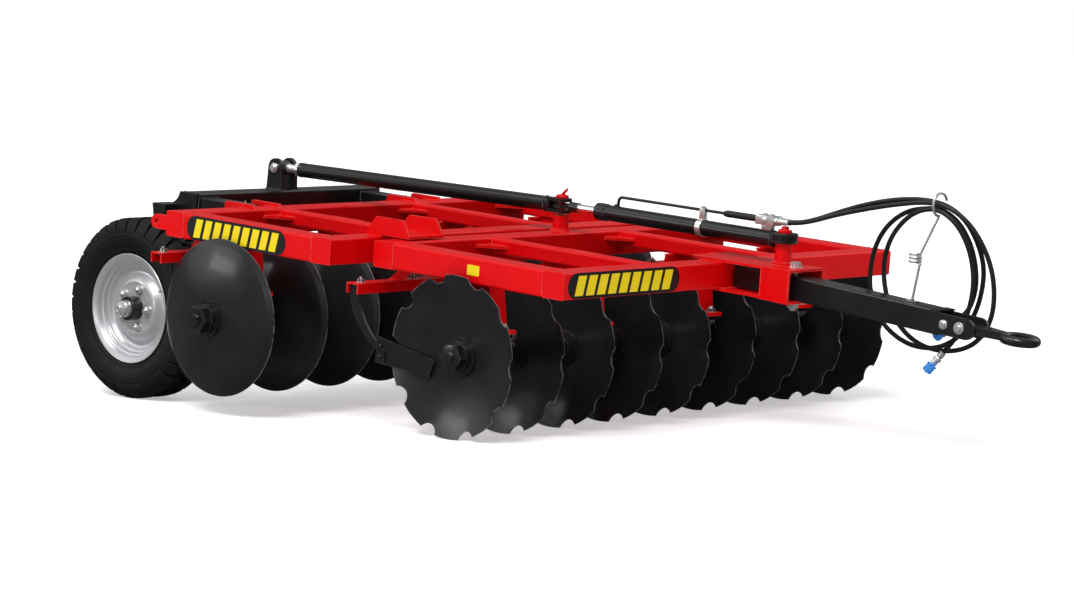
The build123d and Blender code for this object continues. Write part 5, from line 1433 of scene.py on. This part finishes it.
@dataclass(frozen=True)
class LiftTrim(Assembly):
    """The small parts of the cylinder, its posts, the lift link and the drawbar.

    Attributes:
        clevis: The link's rear pin.
        reach: The length of the link to its front seam.
        root: The start of the drawbar's middle line.
        droop: The drawbar's fall below the machine's level, in degrees.
    """

    clevis: Point = (-1770, -335, 484)
    reach: float = 1296.0
    root: Point = (505, MIDDLE, 327)
    droop: float = 3.05

    def build(self) -> None:
        """Adds the cylinder's rings, the pins' caps, the link's screw, the clamp's and the drawbar's parts."""
        self._cylinder()
        self._posts()
        self._link()
        self._drawbar()

    def _cylinder(self) -> None:
        """Adds the gland with its spanner slots and wiper, the barrel's welds and the eye's rings."""
        gland = Shape().lathe((
            (17, -1.6), (21, -1.6), (22, 0.2), (31, 0.2), (34.4, 2), (34.4, 12), (33.4, 13), (34.4, 14), (34.4, 38),
            (33.2, 46), (31.2, 47), (30, 40), (17, 8)), (-232, MIDDLE, CYLINDER), X)
        for low, high in zip(*(Shape.ring((-206, MIDDLE, CYLINDER), X, reach, 8, False) for reach in (32.5, 35.4))):
            gland.rod(low, high, 3.6)
        self.shop.piece("cylinder_gland", gland, BLACK_PAINT, Body.FRONT_FRAME)
        seams = [Shape.ring((x, MIDDLE, CYLINDER), X, radius) for x, radius in ((640, 31.2), (-186, 31.4))]
        self.shop.beads("cylinder_welds", seams, BLACK_PAINT, Body.FRONT_FRAME, 3.0, 4.2)
        collar = Shape().lathe((
            (36, 0), (50.6, 0), (51.2, 2), (51.2, 6), (50, 7), (50, 30), (51.2, 31), (51.2, 35), (50, 37.4),
            (26, 37.4), (26, 36.8), (36, 0.4)), (FRONT_POST, MIDDLE, 470), Z)
        self.shop.piece("cylinder_eye_rings", collar, BLACK_PAINT, Body.FRONT_FRAME)

    def _posts(self) -> None:
        """Adds the pins' turned caps, the welds round both posts' feet, and the clamp's welds and nuts."""
        cap = Shape().lathe((
            (0, 0), (25.6, 0), (26.4, 1.4), (26.4, 9), (24.8, 12.4), (16, 13.2), (14.6, 15), (14.6, 22), (12.6, 24.6),
            (0, 25)), (FRONT_POST, MIDDLE, 507), Z, 48)
        cap.rod((FRONT_POST, MIDDLE - 19, 526), (FRONT_POST, MIDDLE + 19, 526), 2.6)
        self.shop.piece("front_pin_cap", cap, RED_PAINT, Body.FRONT_FRAME)
        head = Shape().lathe((
            (0, 445), (12, 445), (14, 447), (14, 507), (24, 506.6), (25.6, 508.4), (25.6, 517), (24, 519.4),
            (15, 520.4), (13, 523), (0, 523.6)), (REAR_POST, MIDDLE, 0), Z, 48)
        rise, lie = Vector((0.55, 0.32, 0.77)).normalized(), Vector((-0.5, 0.866, 0))
        head.tube([Vector((REAR_POST, MIDDLE, 522)) + rise * (13 - 15 * c) + lie * (17 * s)
                   for c, s in spokes(40, True)], 4.4, 14)
        self.shop.piece("link_pin_head", head, RED_PAINT, Body.LIFT_LINK, ("link_pin",))
        seams = [Shape.ring((x, MIDDLE, z), Z, radius) for x, z, radius in (
            (FRONT_POST, 386, 38.5), (FRONT_POST, 398, 33), (REAR_POST, 376, 37.5), (REAR_POST, 384, 33))]
        self.shop.beads("post_welds", seams, RED_PAINT, Body.FRONT_FRAME, 3.4, 4.6)
        edges = [[(345, y, 384), (489, y, 384)] for y in (-200, 16)] + [[(345, -198, 384), (345, 14, 384)]]
        edges += [[(x, y, 382), (x, y, 276)] for x in (674, 804) for y in (-199, 15)]
        edges += [[(491, -198, z), (491, 14, z)] for z in (276, 374)]
        self.shop.beads("clamp_welds", edges, RED_PAINT, Body.FRONT_FRAME, 3.8, 5.0)
        bolt = [Spot((752, MIDDLE, z), aim, size=36.6 / 30) for z, aim in ((385, Z), (251.6, DOWN))]
        self.shop.templates("clamp_nuts", hex_nut(30, 17, 22, 9.8, 1.5), bolt, ZINC_STEEL, Body.FRONT_FRAME)

    def _link(self) -> None:
        """Adds the link's bright threaded neck with its lock nut, the fork's seam and the clevis pin's ends."""
        clevis = Vector(self.clevis)
        along = (Vector((REAR_POST, MIDDLE, CYLINDER)) - clevis).normalized()
        threads = ridges(11, 39, 4, ((16.9, 0), (18.0, 2)))
        neck = Shape().lathe([(0, 26), (18, 26), (19.6, 28), (19.6, 36), (17.4, 38), *threads, (17, 84), (17, 93),
                              (0, 93)], clevis, along, 48)
        neck.skin([Shape.ring(clevis + along * level, along, 31, 6, False) for level in (76.0, 91.0)], capped=True)
        self.shop.piece("link_screw", neck, ZINC_STEEL, Body.LIFT_LINK, bevel=0.6)
        cap = Shape().lathe(((20, 91), (27, 91), (31, 93.4), (31, 104), (29.8, 106), (20, 106)), clevis, along)
        self.shop.piece("link_tube_cap", cap, BLACK_PAINT, Body.LIFT_LINK)
        seam = Shape.ring(clevis + along * self.reach, along, 30.6)
        self.shop.beads("link_welds", [seam], BLACK_PAINT, Body.LIFT_LINK, 3.2, 4.4)
        pin = Shape()
        for way in (-1, 1):
            face = clevis + Vector((0, way * 46.5, 0))
            pin.lathe(((0, -0.4), (20.4, -0.4), (20.8, 1), (20.8, 7), (19.6, 8.4), (14.2, 9), (14.2, 16),
                       (12.6, 17.6), (0, 17.8)), face, (0, way, 0), 48)
            pin.rod(face + Vector((-18, way * 12.4, 0)), face + Vector((20, way * 12.4, 0)), 2.0, 0.5, 12)
        self.shop.piece("clevis_pin_ends", pin, ZINC_STEEL, Body.AXLE_FRAME)

    def _drawbar(self) -> None:
        """Adds the drawbar pins' heads, the cheeks' welds and the top rubbing strips."""
        c, s = math.cos(math.radians(self.droop)), math.sin(math.radians(self.droop))
        along, up, start = Vector((c, 0, -s)), Vector((s, 0, c)), Vector(self.root)
        pins = Shape()
        for place, radius in ((967, 17.0), (1035, 21.0)):
            for way in (-1, 1):
                pins.lathe(((0, -0.4), (radius, -0.4), (radius + 0.6, 1), (radius + 0.6, 6.4), (radius - 0.8, 8),
                            (12.6, 8.6), (12.6, 13), (11, 14.6), (0, 14.8)),
                           start + along * place + Vector((0, way * 50, 0)), (0, way, 0), 48)
        self.shop.piece("drawbar_pin_heads", pins, ZINC_STEEL, Body.FRONT_FRAME)
        strips = Shape()
        for offset in (-30, -18, -6, 6, 18, 30):
            low = start + along * 820 + up * 44.6 + Vector((0, offset - 2.4, 0))
            strips.prism(((0, 0), (116, 0), (116, 4.8), (0, 4.8)), low, along, Y, 2.2)
        self.shop.piece("drawbar_strips", strips, BLACK_PAINT, Body.FRONT_FRAME, bevel=0.8)
        seams = [[start + along * reach + up * 44 + Vector((0, y, 0)) for reach in (940, 900)] for y in (-50.4, 50.4)]
        seams.append([start + along * 785 + up * 46 + Vector((x, y, 0)) for x, y in
                      ((-22, -11), (22, -11), (22, 11), (-22, 11), (-22, -11))])
        seams.append(Shape.ring((1291, MIDDLE, 337.5), Z, 6.0, 16))
        self.shop.beads("drawbar_welds", seams, BLACK_PAINT, Body.FRONT_FRAME, 2.8, 3.8)


@dataclass(frozen=True)
class AxleTrim(Assembly):
    """The weld beads of the axle frame, and the parts round its hinges.

    Attributes:
        hinges: The right and left faces of the axle frame's hinge barrels.
        arms: The right face of the right arm and the left face of the left one, each with its outward way.
        clevis: The faces of the clevis plates.
        pin: The hinge pins' place along the machine.
    """

    hinges: Pairs = ((-850, -750), (80, 180))
    arms: Pairs = ((-865, -1), (195, 1))
    clevis: Tuple[float, ...] = (-381.5, -365.5, -304.5, -288.5)
    pin: float = -1495.0

    def build(self) -> None:
        """Adds the black welds, the red lugs' welds, the hinge pins' heads and the grease nipples."""
        seams: List[Seam] = []
        lugs: List[Seam] = []
        pins = Shape()
        for low, high in self.hinges:
            seams += [[(-1714, y, 293), (-1714, y, 376)] for y in (low, high)]
            seams.append([(-1714, low, 377), (-1714, high, 377)])
            for y in (low - 32, low - 12, high + 12, high + 32):
                lugs += [[(-1443.5, y, 366), (-1443.5, y, 312)], [(-1440, y, 376), (-1360, y, 376)]]
            for y, way in ((low - 32, -1), (high + 32, 1)):
                pins.lathe(((0, -0.4), (23, -0.4), (23.6, 1), (23.6, 6.6), (22, 8.4), (0, 9.2)), (self.pin, y, 335),
                           (0, way, 0), 48)
        for y in (self.hinges[0][0], self.hinges[-1][-1]):
            seams.append([(-1805, y, 394), (-1715, y, 394), (-1715, y, 300)])
            seams.append([(-1815, y, 385), (-1815, y, 300), (-1722, y, 294)])
        seams += [[(-1815, y, 394.5), (-1725, y, 394.5)] for y in self.clevis]
        for inner, way in self.arms:
            seams.append([(-1893, inner, 336), (-1813, inner - way * 0.2, -108)])
            seams.append([(-1893, inner + way * 72, 336), (-1813, inner + way * 72, -108)])
        self.shop.beads("axle_welds", seams, BLACK_PAINT, Body.AXLE_FRAME, 4.0, 5.4)
        self.shop.beads("axle_lug_welds", lugs, RED_PAINT, Body.REAR_FRAME, 3.8, 5.2)
        self.shop.piece("axle_pin_heads", pins, ZINC_STEEL, Body.REAR_FRAME)
        nipples = [Spot((self.pin, (low + high) / 2, 376.5)) for low, high in self.hinges]
        self.shop.templates("axle_nipples", grease_nipple(), nipples, ZINC_STEEL, Body.AXLE_FRAME)


@dataclass(frozen=True)
class CadDress(Assembly):
    """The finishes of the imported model's own solids.

    Attributes:
        nodes: The CAD objects by name.
        fork: Where the cylinder rod's bright part ends behind the front gang.
    """

    nodes: Dict[str, bpy.types.Object]
    fork: float = -340.0

    def build(self) -> None:
        """Gives every CAD node the finish of its slot, and paints the rod's fork and neck black."""
        by_slot = {finish.slot.value: finish for finish in FINISHES}
        for _, obj in sorted(self.nodes.items()):
            for place in obj.material_slots:
                place.material = self.shop.book.material(by_slot[place.material.name.split(".")[0]])
        rod = self.nodes["cylinder_rod"]
        rod.data.materials.append(self.shop.book.material(BLACK_PAINT))
        back = self.shop.stance.matrix().inverted()
        for face in rod.data.polygons:
            if (back @ face.center).x < self.fork:
                face.material_index = 1


def main() -> None:
    """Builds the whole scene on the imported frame."""
    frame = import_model()
    stance = Stance.from_joints(frame["joints"])
    shop = Workshop(stance, FinishBook())
    for part in (CadDress(shop, frame["nodes"]), HosePair(shop), FrameTrim(shop, FRONT, Body.FRONT_GANG),
                 FrameTrim(shop, REAR, Body.REAR_GANG), OilLine(shop), LiftTrim(shop), AxleTrim(shop), Panels(shop),
                 Wheel(shop, "right", Body.RIGHT_WHEEL, -1060, -1), Wheel(shop, "left", Body.LEFT_WHEEL, 390, 1)):
        part.build()
    studio = Studio(stance)
    studio.add_camera()
    studio.add_floor()
    studio.add_lights()


if __name__ == "__main__":
    main()
